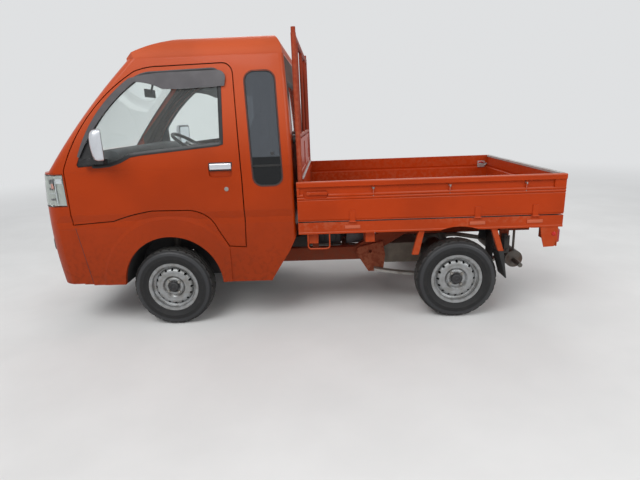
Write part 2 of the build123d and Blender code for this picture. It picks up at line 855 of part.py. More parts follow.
def make_guard_frame():
    guard = bar((GUARD_X, -POST_Y, CROSSBAR_Z), (GUARD_X, POST_Y, CROSSBAR_Z), POST_R)
    for y in (-POST_Y, POST_Y):
        guard += bar((GUARD_X, y, FLOOR_Z + SEAT_GAP), (GUARD_X, y, HORN_Z), POST_R)
        guard += bar((GUARD_X, y, HORN_Z - 1), (GUARD_X, y, POST_TOP), HORN_R)
    for y in (-470, 0, 470):
        guard += bar((GUARD_X, y, HEADBOARD_TOP - 5), (GUARD_X, y, CROSSBAR_Z), 12)
    return guard + bar((GUARD_X, -POST_Y, HEADBOARD_TOP + 14), (GUARD_X, POST_Y, HEADBOARD_TOP + 14), 14)


def make_headboard():
    """The board under the guard, with a rail at gate height, sunk panels and vent slots."""
    y = POST_Y - POST_R - SEAT_GAP
    half = BOARD_T / 2
    board = block(GUARD_X - half, GUARD_X + half, -y, y, FLOOR_Z + SEAT_GAP, HEADBOARD_TOP - 5 - SEAT_GAP)
    board += block(GUARD_X + half - 1, GUARD_X + 22, -y, y, 905, 962)
    panel = outline((50, 1000), (50, 1175), (540, 1175), (600, 1115), (600, 1000))
    board -= both_fronts(panel, GUARD_X + half - 5, GUARD_X + half + 1)
    slots = Pos(430, 1052) * Rectangle(11, 62)
    for i in range(1, 5):
        slots += Pos(430 + 30 * i, 1052) * Rectangle(11, 62)
    return board - both_fronts(slots, GUARD_X - half - 1, GUARD_X + half)


def make_leaf_springs():
    z = SPRING_SEAT_Z
    t = SPRING_T
    leaf = outline(
        (1375, z + 54 + t),
        ((1640, z + 13 + t), (WHEELBASE, z + t)),
        ((2110, z + 41 + t), (2300, z + 170 + t)),
        (2300, z + 170),
        ((2110, z + 41), (WHEELBASE, z)),
        ((1640, z + 13), (1375, z + 54)),
    )
    pack = side_prism(leaf, SPRING_Y - SPRING_W / 2, SPRING_Y + SPRING_W / 2)
    return both_sides(pack)


def make_rear_axle():
    tube = bar((WHEELBASE, -575, HUB_Z), (WHEELBASE, 575, HUB_Z), 36)
    diff = Pos(WHEELBASE, 0, HUB_Z) * Sphere(105)
    nose = bar((NOSE_FRONT, 0, NOSE_Z), (WHEELBASE - 50, 0, NOSE_Z), 42)
    axle = tube + diff + nose
    for s in (-1, 1):
        axle += bar((WHEELBASE, s * 610, HUB_Z), (WHEELBASE, s * 655, HUB_Z), 108)
        axle += bar((WHEELBASE, s * 570, HUB_Z), (WHEELBASE, s * (WHEEL_REAR_Y + DISC_FACE - SEAT_GAP), HUB_Z), 30)
        ya, yb = sorted((s * (SPRING_Y - 30), s * (SPRING_Y + 30)))
        axle += block(WHEELBASE - 30, WHEELBASE + 30, ya, yb, SPRING_SEAT_Z + SPRING_T + SPRING_CLEAR, HUB_Z)
    return axle


def wheel_station(axle_x, y):
    return Pos(axle_x, y, HUB_Z)


def add_wheel(name, axle_x, track_y, side):
    turn = Rot(0, 0, 0) if side < 0 else Rot(0, 0, 180)
    PARTS["rim_" + name] = wheel_station(axle_x, side * track_y) * (turn * make_rim())
    PARTS["tyre_" + name] = wheel_station(axle_x, side * track_y) * (turn * make_tyre())


def kingpin(side):
    """Lower ball joint, upper strut mount and the direction between them."""
    low = Vector(0, side * KNUCKLE_LOW[0], KNUCKLE_LOW[1])
    top = Vector(0, side * KNUCKLE_TOP[0], KNUCKLE_TOP[1])
    return low, top, (top - low).normalized()


def make_knuckle(side):
    low, top, along = kingpin(side)
    strut = bar(low + along * 17, top - along * 14, 22)
    hub = bar((0, side * 570, HUB_Z), (0, side * (WHEEL_FRONT_Y + DISC_FACE - SEAT_GAP), HUB_Z), 30)
    drum = bar((0, side * 622, HUB_Z), (0, side * 664, HUB_Z), 105)
    return strut + hub + drum


def make_front_suspension():
    whole = block(-60, 60, -RAIL_Y + 20, RAIL_Y - 20, 240, 320)
    for s in (-1, 1):
        ya, yb = sorted((s * (RAIL_Y - 30), s * (RAIL_Y + 20)))
        whole += block(-40, 40, ya, yb, 240, RAIL_BOTTOM - SEAT_GAP)
        low, top, along = kingpin(s)
        whole += bar((0, s * 300, 246), low - along * 12, 11)
        whole += bar(low - along * 22, low + along * 16, 14)
    return whole


def make_engine():
    engine = block(110, ENGINE_REAR, -210, 210, 235, 560)
    gearbox = block(ENGINE_REAR, GEARBOX_REAR, -105, 105, 265, 440)
    mounts = block(300, 360, -RAIL_Y + 25.3, RAIL_Y - 25.3, 455, 485)
    return engine + gearbox + mounts


def make_drive_shaft():
    return bar((GEARBOX_REAR + SHAFT_LEAN, 0, 340), (NOSE_FRONT - SHAFT_LEAN, 0, NOSE_Z), 28)


def make_exhaust():
    muffler = bar((2390, -400, 300), (2390, 240, 300), 62)
    start = (ENGINE_REAR + SEAT_GAP, 185, 345)
    path = FilletPolyline(start, (2130, 185, 345), (2380, 185, 300), radius=200)
    pipe = sweep(Plane(origin=start, z_dir=(1, 0, 0)) * Circle(18), path=path)
    tail = bar((2390, -400, 290), (2390, -520, 290), 16)
    hanger = block(2384, 2396, -380, -364, 300, 515 - SEAT_GAP)
    return muffler + pipe + tail + hanger


def make_fuel_tank():
    tank = block(1450, 1730, -345, -62, 285, 430)
    tank = fillet(tank.edges().filter_by(Axis.Y), 25)
    straps = block(1452, 1478, -RAIL_Y + RAIL_W / 2 + SEAT_GAP, -80, 425, 445)
    return tank + straps


def make_spring_brackets():
    front = outline((1250, 388), (1337, 248), (1443, 248), (1458, 372), (1440, 470), (1262, 428))
    front = front - Pos(1352, 398) * Circle(12)
    rear = outline((2262, 590), (2338, 590), (2322, 370), (2280, 370))
    y0 = RAIL_Y + RAIL_W / 2 + SEAT_GAP
    y1 = SPRING_Y - SPRING_W / 2 - SEAT_GAP
    shapes = []
    for face in (front, rear):
        shapes += both_sides(side_prism(face, y0, y1))
    return shapes


def make_bed_brackets():
    front = outline((1642, SILL_BOTTOM - SEAT_GAP), (1679, SILL_BOTTOM - SEAT_GAP), (1642, 450), (1600, 450))
    rear = outline((2104, SILL_BOTTOM - SEAT_GAP), (2141, SILL_BOTTOM - SEAT_GAP), (2192, 458), (2158, 458))
    shapes = []
    for face in (front, rear):
        shapes += both_sides(side_prism(face, 692, 720))
    return shapes


def make_mudflaps():
    flap = outline((2158, 458 - SEAT_GAP), (2192, 458 - SEAT_GAP), (2221, 271), (2214, 271))
    return both_sides(side_prism(flap, 580, 722))


def make_lamp_plates():
    top = SILL_BOTTOM - SEAT_GAP
    plate = outline((2412, top), (2525, top), (2525, 560), (2510, 483), (2442, 479), (2425, 540))
    left = side_prism(plate, -GATE_Y, -GATE_Y + 6) + block(2519, 2525, -GATE_Y, -470, 483, top)
    return both_sides(left)


def make_tail_lamps():
    lens = block(2525 + SEAT_GAP, 2552, -700, -490, 500, 590)
    lens = fillet(lens.edges().filter_by(Axis.X), 12)
    return both_sides(fillet(lens.faces().sort_by(Axis.X)[-1].edges(), 5))


def make_rope_hooks():
    y = -722
    top = SILL_BOTTOM - SEAT_GAP
    path = FilletPolyline((925, y, top), (925, y, 512), (1065, y, 512), (1065, y, top), radius=22)
    rod = sweep(Plane(origin=(925, y, top), z_dir=(0, 0, -1)) * Circle(4.5), path=path)
    return both_sides(rod)


PARTS = {}


def add_pair(name, left):
    """A node on the left and its mirror image on the right."""
    PARTS[name + "_left"] = left
    PARTS[name + "_right"] = mirror(left, about=Plane.XZ)


def build():
    PARTS["chassis_frame"] = make_chassis_frame()
    PARTS["cab_body"] = make_cab_body()
    PARTS["cab_floor"] = make_cab_floor()
    PARTS["high_roof"] = make_high_roof()
    PARTS["front_panel"] = make_front_panel()
    PARTS["front_bumper"] = make_front_bumper()
    PARTS["headlamps"] = make_headlamps()
    PARTS["front_grilles"] = Compound(make_front_grilles())
    PARTS["fog_bezels"] = Compound(make_fog_bezels())
    PARTS["front_fenders"] = Compound(both_sides(make_fender()))
    PARTS["windscreen"] = front_prism(grown(screen_outline(), -SEAT_GAP), -900, 100) & GLASS_LAYER
    PARTS["rear_window"] = front_prism(grown(REAR_WINDOW, -SEAT_GAP), 700, 900) & GLASS_LAYER
    quarter = side_prism(grown(quarter_outline(), -SEAT_GAP), *LEFT) & GLASS_LAYER
    PARTS["quarter_windows"] = Compound(both_sides(quarter))
    PARTS["dashboard"] = make_dashboard()
    PARTS["steering_wheel"] = make_steering_wheel()
    PARTS["seat_cushions"] = Compound(make_seat_cushions())
    PARTS["seat_backs"] = Compound(make_seat_backs())
    add_pair("door", make_door())
    add_pair("door_glass", make_door_glass())
    add_pair("visor", make_visor())
    add_pair("mirror", make_mirror())
    add_pair("knuckle", make_knuckle(-1))
    add_pair("side_gate", make_side_gate())
    for side, word in ((-1, "left"), (1, "right")):
        add_wheel("front_" + word, 0, WHEEL_FRONT_Y, side)
        add_wheel("rear_" + word, WHEELBASE, WHEEL_REAR_Y, side)
    PARTS["tailgate"] = make_tailgate()
    PARTS["bed_floor"] = make_bed_floor()
    PARTS["guard_frame"] = make_guard_frame()
    PARTS["headboard"] = make_headboard()
    PARTS["leaf_springs"] = Compound(make_leaf_springs())
    PARTS["rear_axle"] = make_rear_axle()
    PARTS["front_suspension"] = make_front_suspension()
    PARTS["engine"] = make_engine()
    PARTS["drive_shaft"] = make_drive_shaft()
    PARTS["exhaust"] = make_exhaust()
    PARTS["fuel_tank"] = make_fuel_tank()
    PARTS["spring_brackets"] = Compound(make_spring_brackets())
    PARTS["bed_brackets"] = Compound(make_bed_brackets())
    PARTS["mudflaps"] = Compound(make_mudflaps())
    PARTS["lamp_plates"] = Compound(make_lamp_plates())
    PARTS["tail_lamps"] = Compound(make_tail_lamps())
    PARTS["rope_hooks"] = Compound(make_rope_hooks())


build()
os.makedirs("parts", exist_ok=True)
SHIFT = FRONT_OVERHANG - LENGTH / 2
for name, shape in PARTS.items():
    export_step(Pos(SHIFT, 0, 0) * shape, f"parts/{name}.step")
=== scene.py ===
import json
import math

import bmesh
import bpy
from mathutils import Matrix, Vector
from mathutils.bvhtree import BVHTree


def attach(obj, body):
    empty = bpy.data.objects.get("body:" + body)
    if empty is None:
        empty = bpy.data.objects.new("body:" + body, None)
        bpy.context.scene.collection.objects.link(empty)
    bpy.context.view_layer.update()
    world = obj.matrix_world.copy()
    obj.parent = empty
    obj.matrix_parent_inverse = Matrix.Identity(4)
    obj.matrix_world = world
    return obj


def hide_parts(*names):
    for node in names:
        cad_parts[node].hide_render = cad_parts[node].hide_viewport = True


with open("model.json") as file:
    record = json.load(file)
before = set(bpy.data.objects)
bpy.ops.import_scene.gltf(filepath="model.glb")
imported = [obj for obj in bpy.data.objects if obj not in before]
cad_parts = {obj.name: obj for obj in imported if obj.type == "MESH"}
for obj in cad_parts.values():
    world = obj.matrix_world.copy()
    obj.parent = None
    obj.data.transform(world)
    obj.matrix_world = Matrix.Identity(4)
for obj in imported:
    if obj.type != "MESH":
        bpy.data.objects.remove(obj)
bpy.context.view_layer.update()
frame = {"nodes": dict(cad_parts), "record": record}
NODES = frame["nodes"]

# Lengths in make_ functions are millimetres, x measured back from the front axle; radii are metres
SIDES = (-1, 1)  # left, right
HUB_Z = 268
WHEEL_STATIONS = {
    "front_left": (0, -652),
    "front_right": (0, 652),
    "rear_left": (1900, -650),
    "rear_right": (1900, 650),
}
OUTSIDE = 900  # beyond the sides: rays that look for the skin from the side start here
AHEAD = -1200  # in front of the nose: rays that look for the skin from the front start here

ORANGE = (0.37, 0.036, 0.0015)
# Painted shade: the body's and the cab's paint darkens to this towards the bottom
ORANGE_LOW_SHADE = (0.16, 0.021, 0.003)
# Painted sky reflection: the cab's leaning upper sides turn towards this colour
ORANGE_SKY_SHEEN = (0.62, 0.125, 0.050)
# Rubbed paint on edges, lighter also as a painted highlight along them
ORANGE_RUBBED_AND_EDGE_LIT = (0.45, 0.14, 0.07)
BED_DUSTY = (0.40, 0.080, 0.025)
# Dust on upward faces, lighter also as painted light from above
SETTLED_DUST_AND_TOP_LIGHT = (0.55, 0.20, 0.13)
# Colour of the darker rings along the wheels' grooves
WHEEL_GROOVE_DARK = (0.055, 0.048, 0.042)
ROAD_DUST = (0.070, 0.064, 0.058)
TRIM_BROWN = (0.060, 0.034, 0.024)
PALE = (0.74, 0.75, 0.76)

# Lines and planes in metres; a pair is where one material starts to turn into another and where it ends
AXLE_LINES = (-0.8625, 1.0375)
WAIST_Z = 1.062
LEAN = 0.149  # how far the cab's sides lean in for each metre above the waist
SCREEN_SLOPE = 0.949  # how far the windscreen runs back for each metre up
SCREEN_FOOT = -2.658  # the windscreen's plane, carried down to the ground
BEHIND_SCREEN = (SCREEN_FOOT + 0.034, SCREEN_FOOT + 0.038)
CORNER_CUT = SCREEN_FOOT + 0.058  # the pillar's rounded outer corner lies ahead of this
INSIDE_SKIN = (0.7195, 0.7215)  # from the middle plane to between the shell's two faces
BEHIND_NOSE = (-1.4585, -1.4545)
AHEAD_OF_WALL = (-0.0285, -0.0245)
ABOVE_FLOOR = (0.70, 0.705)
BELOW_ROOF = (1.712, 1.716)
QUARTER_FOOT = (1.115, 1.117)  # the quarter windows are black below this
LENS_CLEAR = (0.6095, 0.6105)  # the tail lamps are clear inside this, then amber, then red
LENS_AMBER = (0.6495, 0.6505)

# Camera of the photograph: place in metres, turns in radians, lens for a 36 mm sensor
CAMERA_AT = (0.2218, -3.6102, 1.3423)
CAMERA_YAW = -0.0285
CAMERA_PITCH = 0.2610
CAMERA_ROLL = -0.0379
CAMERA_LENS = 25.88


class Shader:
    """A small helper that builds the nodes of one material, or of the world."""

    def __init__(self, name, owner=None):
        self.material = owner or bpy.data.materials.new(name)
        self.material.use_nodes = True
        self.nodes = self.material.node_tree.nodes
        self.links = self.material.node_tree.links
        self.main = self.nodes["Background" if owner else "Principled BSDF"]
        self.kept = {}

    def set(self, **values):
        for key, value in values.items():
            socket = self.main.inputs[key.replace("_", " ")]
            if isinstance(value, tuple) and len(value) == 3:
                value = (*value, 1.0)
            socket.default_value = value
        return self

    def node(self, kind, **values):
        made = self.nodes.new("ShaderNode" + kind)
        for key, value in values.items():
            if hasattr(made, key):
                setattr(made, key, value)
            else:
                made.inputs[key.replace("_", " ")].default_value = value
        return made

    def link(self, a, b):
        self.links.new(a, b)

    def place(self):
        """Position in the object's own frame, which is the row frame."""
        if "place" not in self.kept:
            self.kept["place"] = self.node("TexCoord").outputs["Object"]
        return self.kept["place"]

    def axis(self, letter):
        """One coordinate of the place."""
        if "split" not in self.kept:
            split = self.node("SeparateXYZ")
            self.link(self.place(), split.inputs[0])
            self.kept["split"] = split.outputs
        return self.kept["split"][letter]

    def noise(self, scale, detail=4.0, roughness=0.55, stretch=None):
        source = self.place()
        if stretch:
            mapping = self.node("Mapping", Scale=stretch)
            self.link(source, mapping.inputs["Vector"])
            source = mapping.outputs["Vector"]
        made = self.node("TexNoise", Scale=scale, Detail=detail, Roughness=roughness)
        self.link(source, made.inputs["Vector"])
        return made.outputs["Fac"]

    def wave(self, scale, direction, distortion=0.0):
        made = self.node("TexWave", Scale=scale, Distortion=distortion, bands_direction=direction)
        self.link(self.place(), made.inputs["Vector"])
        return made.outputs["Fac"]

    def ramp(self, value, low, high, reverse=False):
        """value mapped so that low gives 0 and high gives 1, or the other way round."""
        made = self.node("MapRange", interpolation_type="SMOOTHSTEP", From_Min=low, From_Max=high)
        made.inputs["To Min"].default_value = float(reverse)
        made.inputs["To Max"].default_value = float(not reverse)
        self.link(value, made.inputs["Value"])
        return made.outputs["Result"]

    def math(self, operation, a, b=0.0):
        made = self.node("Math", operation=operation)
        for index, value in enumerate((a, b)):
            if isinstance(value, (int, float)):
                made.inputs[index].default_value = value
            else:
                self.link(value, made.inputs[index])
        return made.outputs["Value"]

    def times(self, a, b):
        return self.math("MULTIPLY", a, b)

    def plus(self, a, b):
        return self.math("ADD", a, b)

    def gap(self, a, b):
        """How far a lies from b."""
        return self.math("ABSOLUTE", self.math("SUBTRACT", a, b))

    def mix(self, factor, a, b):
        """Colour a where factor is 0 and b where it is 1."""
        made = self.node("Mix", data_type="RGBA")
        for index, value in ((6, a), (7, b)):
            if isinstance(value, tuple):
                made.inputs[index].default_value = (*value[:3], 1.0)
            else:
                self.link(value, made.inputs[index])
        self.link(factor, made.inputs[0])
        return made.outputs[2]

    def done(self, colour, rough, height, strength, distance=0.0006):
        """Links the colour, the roughness if it varies, and the bump, and gives the material."""
        self.link(colour, self.main.inputs["Base Color"])
        if rough is not None:
            self.link(rough, self.main.inputs["Roughness"])
        made = self.node("Bump", Strength=strength, Distance=distance)
        self.link(height, made.inputs["Height"])
        self.link(made.outputs["Normal"], self.main.inputs["Normal"])
        return self.material


def paint(name, base, dust_and_shade_colour, gloss=0.3, coat=0.1, dust_and_shade_top=0.95, worn=0.0, cab=False):
    """Vehicle paint: fine orange peel, and a low colour towards the bottom, painted shade on the body and
    cab, dust on the bed. Where it is worn, edges are rubbed and lighter, partly as a painted highlight, and
    dust and painted top light lighten upward faces; the cab's paint turns lighter upwards as a painted sky
    reflection, and turns to trim inside."""
    s = Shader(name).set(Coat_Weight=coat, Coat_Roughness=0.08, Specular_IOR_Level=0.13)
    cloud = s.noise(2.2, 3.0)
    fine = s.noise(38.0, 5.0)
    tone = s.mix(s.ramp(cloud, 0.35, 0.7), base, tuple(c * 0.86 for c in base))
    # Towards the bottom the paint turns to its low colour: painted shade on the body and the cab, dust and
    # dirt on the bed and the frame
    low = s.ramp(s.axis("Z"), 0.25, dust_and_shade_top, reverse=True)
    grime = s.times(low, s.plus(s.times(s.ramp(fine, 0.42, 0.72), 0.35), 0.45))
    tone = s.mix(grime, tone, dust_and_shade_colour)
    if cab:
        # Painted sky reflection: the cab's paint is lighter upwards from 1.0 m
        tone = s.mix(s.times(s.ramp(s.axis("Z"), 1.0, 1.5), 0.45), tone, ORANGE_SKY_SHEEN)
    if worn:
        surface = s.node("NewGeometry").outputs
        # Sharp edges lighter: rubbed paint, and a painted highlight where edges catch the light
        rubbed = s.times(s.ramp(surface["Pointiness"], 0.53, 0.6), s.ramp(fine, 0.4, 0.6))
        streak = s.noise(9.0, 6.0, 0.7, (1.0, 6.0, 14.0))
        scuffed = s.times(s.ramp(streak, 0.62, 0.78), worn)
        tone = s.mix(s.math("MAXIMUM", s.times(rubbed, worn), scuffed), tone, ORANGE_RUBBED_AND_EDGE_LIT)
        facing = s.node("SeparateXYZ")
        s.link(surface["Normal"], facing.inputs[0])
        # Upward faces lighter: settled dust, and painted light from above
        settled_and_top_lit = s.times(s.ramp(facing.outputs["Z"], 0.3, 0.85), 0.4)
        tone = s.mix(s.times(settled_and_top_lit, s.ramp(cloud, 0.2, 0.6)), tone, SETTLED_DUST_AND_TOP_LIGHT)
    rough = s.plus(s.times(grime, 0.35), gloss)
    if cab:
        inner = inside_mask(s)
        tone = s.mix(inner, tone, TRIM_BROWN)
        rough = s.plus(rough, s.times(inner, 0.4))
    return s.done(tone, rough, s.noise(420.0, 2.0), 0.03)


def inside_mask(s):
    """1 on the inner faces of the cab's shell, 0 on its outer skin, from the place alone."""
    x, z = s.axis("X"), s.axis("Z")
    lean = s.times(s.math("MAXIMUM", s.math("SUBTRACT", z, WAIST_Z), 0.0), LEAN)
    screen = s.plus(x, s.times(z, -SCREEN_SLOPE))
    corner = s.math("MAXIMUM", s.math("SUBTRACT", CORNER_CUT, screen), 0.0)
    out = s.plus(s.plus(s.gap(s.axis("Y"), 0.0), lean), corner)
    mask = s.ramp(out, *INSIDE_SKIN, reverse=True)
    for inner in (
        s.ramp(screen, *BEHIND_SCREEN),
        s.ramp(x, *BEHIND_NOSE),
        s.ramp(x, *AHEAD_OF_WALL, reverse=True),
        s.ramp(z, *ABOVE_FLOOR),
        s.ramp(z, *BELOW_ROOF, reverse=True),
    ):
        mask = s.times(mask, inner)
    return mask


def plastic(name, base, rough=0.55, grain=900.0, depth=0.12, cloudy=1.35):
    """Moulded plastic with a fine grain."""
    s = Shader(name).set(Specular_IOR_Level=0.4)
    cloud = s.noise(14.0, 3.0)
    tone = s.mix(s.ramp(cloud, 0.35, 0.7), base, tuple(min(1.0, c * cloudy + 0.004) for c in base))
    return s.done(tone, s.plus(s.times(cloud, 0.15), rough - 0.08), s.noise(grain, 2.0), depth, 0.0008)


def metal(name, base, rough=0.35, metallic=1.0, grime=0.3, dirt=(0.10, 0.075, 0.055)):
    """Metal with patches of dirt or rust."""
    s = Shader(name).set(Metallic=metallic)
    cloud = s.noise(11.0, 6.0, 0.62)
    tone = s.mix(s.times(s.ramp(cloud, 0.45, 0.72), grime), base, dirt)
    return s.done(tone, s.plus(s.times(cloud, 0.25), rough - 0.1), s.noise(260.0, 3.0), 0.06)


def axle_reach(s):
    """Distance of a place from the nearer axle line, in metres."""
    up = s.math("SUBTRACT", s.axis("Z"), HUB_Z / 1000)
    front, rear = [s.gap(s.axis("X"), x) for x in AXLE_LINES]
    along = s.math("MINIMUM", front, rear)
    return s.math("SQRT", s.plus(s.times(along, along), s.times(up, up)))


# Darker rings along the grooves of the wheels: distance from the axle, half width, share of darkening
WHEEL_GROOVES = ((0.070, 0.009, 0.7), (0.1415, 0.004, 0.75), (0.150, 0.003, 0.5), (0.037, 0.006, 0.7))


def wheel_paint(name):
    """Silver wheel paint, painted darker in rings along its grooves, by distance from the axle."""
    s = Shader(name).set(Specular_IOR_Level=0.5, Metallic=0.7)
    reach = axle_reach(s)
    cloud = s.noise(24.0, 6.0, 0.62)
    tone = s.mix(s.ramp(cloud, 0.35, 0.75), (0.33, 0.34, 0.345), (0.24, 0.236, 0.225))
    for middle, wide, share in WHEEL_GROOVES:
        ring = s.times(s.ramp(s.gap(reach, middle), wide * 0.3, wide, reverse=True), share)
        tone = s.mix(s.times(ring, s.ramp(cloud, 0.25, 0.6)), tone, WHEEL_GROOVE_DARK)
    return s.done(tone, s.plus(s.times(cloud, 0.3), 0.3), s.noise(260.0, 3.0), 0.05)


def rubber(name):
    """Dull black rubber with some dust."""
    s = Shader(name).set(Specular_IOR_Level=0.35)
    dust = s.noise(26.0, 6.0, 0.6)
    tone = s.mix(s.times(s.ramp(dust, 0.45, 0.8), 0.3), (0.02, 0.02, 0.02), ROAD_DUST)
    return s.done(tone, s.plus(s.times(dust, 0.2), 0.6), s.noise(700.0, 2.0), 0.12)


def tyre_rubber(name):
    """Black sidewall with a worn, lighter shoulder ring and dust on the tread."""
    s = Shader(name).set(Specular_IOR_Level=0.4)
    reach = axle_reach(s)
    dust = s.noise(26.0, 6.0, 0.6)
    ring = s.ramp(s.gap(reach, 0.236), 0.006, 0.016, reverse=True)
    tone = s.mix(s.times(ring, 0.8), (0.0075, 0.0075, 0.008), (0.034, 0.035, 0.038))
    tone = s.mix(s.times(s.ramp(reach, 0.254, 0.264), 0.6), tone, (0.040, 0.037, 0.034))
    tone = s.mix(s.times(s.ramp(dust, 0.5, 0.85), 0.22), tone, ROAD_DUST)
    rough = s.plus(s.math("SUBTRACT", 0.5, s.times(ring, 0.14)), s.times(dust, 0.15))
    return s.done(tone, rough, s.noise(700.0, 2.0), 0.12)


def glass(name, tint, solid, black_below=None):
    """Faintly smeared glass. solid is the share of light it stops; it can be black below a height."""
    s = Shader(name).set(Base_Color=tint, Transmission_Weight=1.0 - solid, IOR=1.08)
    s.set(Coat_Weight=0.6, Coat_Roughness=0.02)
    if black_below:
        low = s.ramp(s.axis("Z"), *black_below, reverse=True)
        s.link(s.mix(low, tint, (0.012, 0.014, 0.016)), s.main.inputs["Base Color"])
    smear = s.ramp(s.noise(7.0, 5.0, 0.6), 0.5, 0.9)
    s.link(s.times(smear, 0.05), s.main.inputs["Roughness"])
    return s.material


def fabric(name, base, other):
    """Woven seat cloth with a fine thread pattern."""
    s = Shader(name).set(Sheen_Weight=0.25, Roughness=0.92, Specular_IOR_Level=0.2)
    weave = s.times(s.wave(260.0, "X", 1.2), s.wave(260.0, "Y", 1.2))
    tone = s.mix(s.ramp(s.noise(60.0, 4.0), 0.35, 0.7), base, other)
    return s.done(tone, None, weave, 0.35, 0.0009)


def banded_lens(name):
    """Tail lamp plastic in three bands, red outside, amber, and clear inside, with fine ribs."""
    s = Shader(name).set(Roughness=0.18, Specular_IOR_Level=0.6, Coat_Weight=0.5)
    out = s.gap(s.axis("Y"), 0.0)
    tone = s.mix(s.ramp(out, *LENS_CLEAR), (0.62, 0.60, 0.56), (0.55, 0.16, 0.015))
    tone = s.mix(s.ramp(out, *LENS_AMBER), tone, (0.36, 0.010, 0.008))
    return s.done(tone, None, s.wave(60.0, "Y"), 0.25, 0.001)


# Each material's maker and what it is given, in the order of that maker's own values
RECIPES = {
    "body_orange": (paint, ORANGE, ORANGE_LOW_SHADE),
    "cab_orange": (paint, ORANGE, ORANGE_LOW_SHADE, 0.3, 0.1, 0.95, 0.0, True),
    "guard_orange": (paint, (0.30, 0.042, 0.016), BED_DUSTY, 0.5, 0.0, 0.8, 0.3),
    # The high roof: rougher paint whose lighter base is a painted sky highlight
    "roof_orange_sky_lit": (paint, (0.50, 0.085, 0.026), ORANGE, 0.5, 0.0),
    "bed_orange": (paint, (0.42, 0.040, 0.003), BED_DUSTY, 0.42, 0.04, 0.8, 0.28),
    "rubbed_orange": (paint, (0.52, 0.115, 0.058), BED_DUSTY, 0.5, 0.0, 0.8, 0.35),
    "frame_orange": (paint, (0.24, 0.032, 0.008), (0.12, 0.052, 0.032), 0.55, 0.0, 0.7, 0.3),
    "chassis_black": (metal, (0.025, 0.024, 0.024), 0.55, 0.3),
    "bare_steel": (metal, (0.33, 0.32, 0.30), 0.5, 0.7, 0.6),
    "cast_dark": (metal, (0.07, 0.065, 0.06), 0.65, 0.5, 0.6),
    "rim_silver": (wheel_paint,),
    "tyre": (tyre_rubber,),
    "rubber": (rubber,),
    "glass_clear": (glass, (0.93, 0.97, 0.96), 0.02),
    "quarter_glass": (glass, (0.13, 0.145, 0.165), 0.45, QUARTER_FOOT),
    "lamp_lens": (glass, (0.93, 0.97, 0.94), 0.0),
    "tail_lens": (plastic, (0.42, 0.012, 0.008), 0.2, 300.0, 0.05),
    "black_plastic": (plastic, (0.022, 0.022, 0.023)),
    "grey_plastic": (plastic, (0.10, 0.10, 0.105)),
    "smoke_plastic": (plastic, (0.082, 0.077, 0.082), 0.22, 200.0, 0.01, 1.08),
    "seat_fabric": (fabric, (0.055, 0.056, 0.06), (0.10, 0.10, 0.105)),
    "mirror_chrome": (metal, (0.72, 0.74, 0.78), 0.14, 0.95, 0.05),
    "muffler_steel": (metal, (0.13, 0.118, 0.105), 0.55, 0.6, 0.7, (0.09, 0.045, 0.028)),
    "tank_black": (plastic, (0.15, 0.125, 0.098), 0.6),
    "black_trim": (plastic, (0.016, 0.016, 0.017), 0.42, 500.0, 0.05),
    "mirror_glass": (metal, (0.78, 0.81, 0.85), 0.12, 1.0, 0.05),
    "mirror_shell": (metal, (0.66, 0.68, 0.72), 0.3, 0.85, 0.2, (0.40, 0.39, 0.38)),
    "lamp_silver": (metal, (0.50, 0.52, 0.50), 0.32, 0.9, 0.15),
    "hook_steel": (metal, (0.30, 0.28, 0.26), 0.5, 0.8, 0.6, (0.12, 0.05, 0.03)),
    "strip_silver": (metal, (0.40, 0.395, 0.39), 0.6, 0.2, 0.5, (0.26, 0.15, 0.10)),
    "amber_lens": (plastic, (0.42, 0.20, 0.17), 0.25, 300.0, 0.03),
    "plate_white": (plastic, (0.72, 0.72, 0.69), 0.4, 300.0, 0.03),
    "tail_bands": (banded_lens,),
    "trim_brown": (plastic, (0.06, 0.045, 0.035), 0.7),
    "dash_dark": (plastic, (0.032, 0.033, 0.035), 0.7, 500.0, 0.2),
}
MATERIALS = {name: make(name, *values) for name, (make, *values) in RECIPES.items()}

# Nodes whose finish differs from their slot's own, by the photograph
FINISH = {
    "cab_orange": ("cab_body", "door_left", "door_right"),
    "roof_orange_sky_lit": ("high_roof",),
    "quarter_glass": ("quarter_windows",),
    "dash_dark": ("dashboard",),
    "tail_bands": ("tail_lamps",),
    "bed_orange": (
        "bed_floor", "side_gate_left", "side_gate_right", "tailgate", "headboard", "bed_brackets",
        "lamp_plates", "rope_hooks",
    ),
    "guard_orange": ("guard_frame",),
    "frame_orange": ("chassis_frame", "spring_brackets"),
}
SOFTENED = (
    "bed_floor", "side_gate_left", "side_gate_right", "tailgate", "headboard", "lamp_plates",
    "chassis_frame", "mudflaps", "bed_brackets",
)


def finish_nodes():
    """Each CAD node gets its material, and the sheet metal of the bed gets softened edges."""
    finish = {row["node"]: row["material_slot"] for row in frame["record"]["subparts"]}
    finish.update({node: material for material, nodes in FINISH.items() for node in nodes})
    for name, node in NODES.items():
        node.data.materials.clear()
        node.data.materials.append(MATERIALS[finish[name]])
        if name in SOFTENED:
            weld = node.modifiers.new("weld", "WELD")
            weld.merge_threshold = 0.0001
            bevel = node.modifiers.new("bevel", "BEVEL")
            bevel.width = 0.002
            bevel.segments = 2
            bevel.limit_method = "ANGLE"
            bevel.angle_limit = math.radians(40)


def add_object(name, data):
    made = bpy.data.objects.new(name, data)
    bpy.context.scene.collection.objects.link(made)
    return made


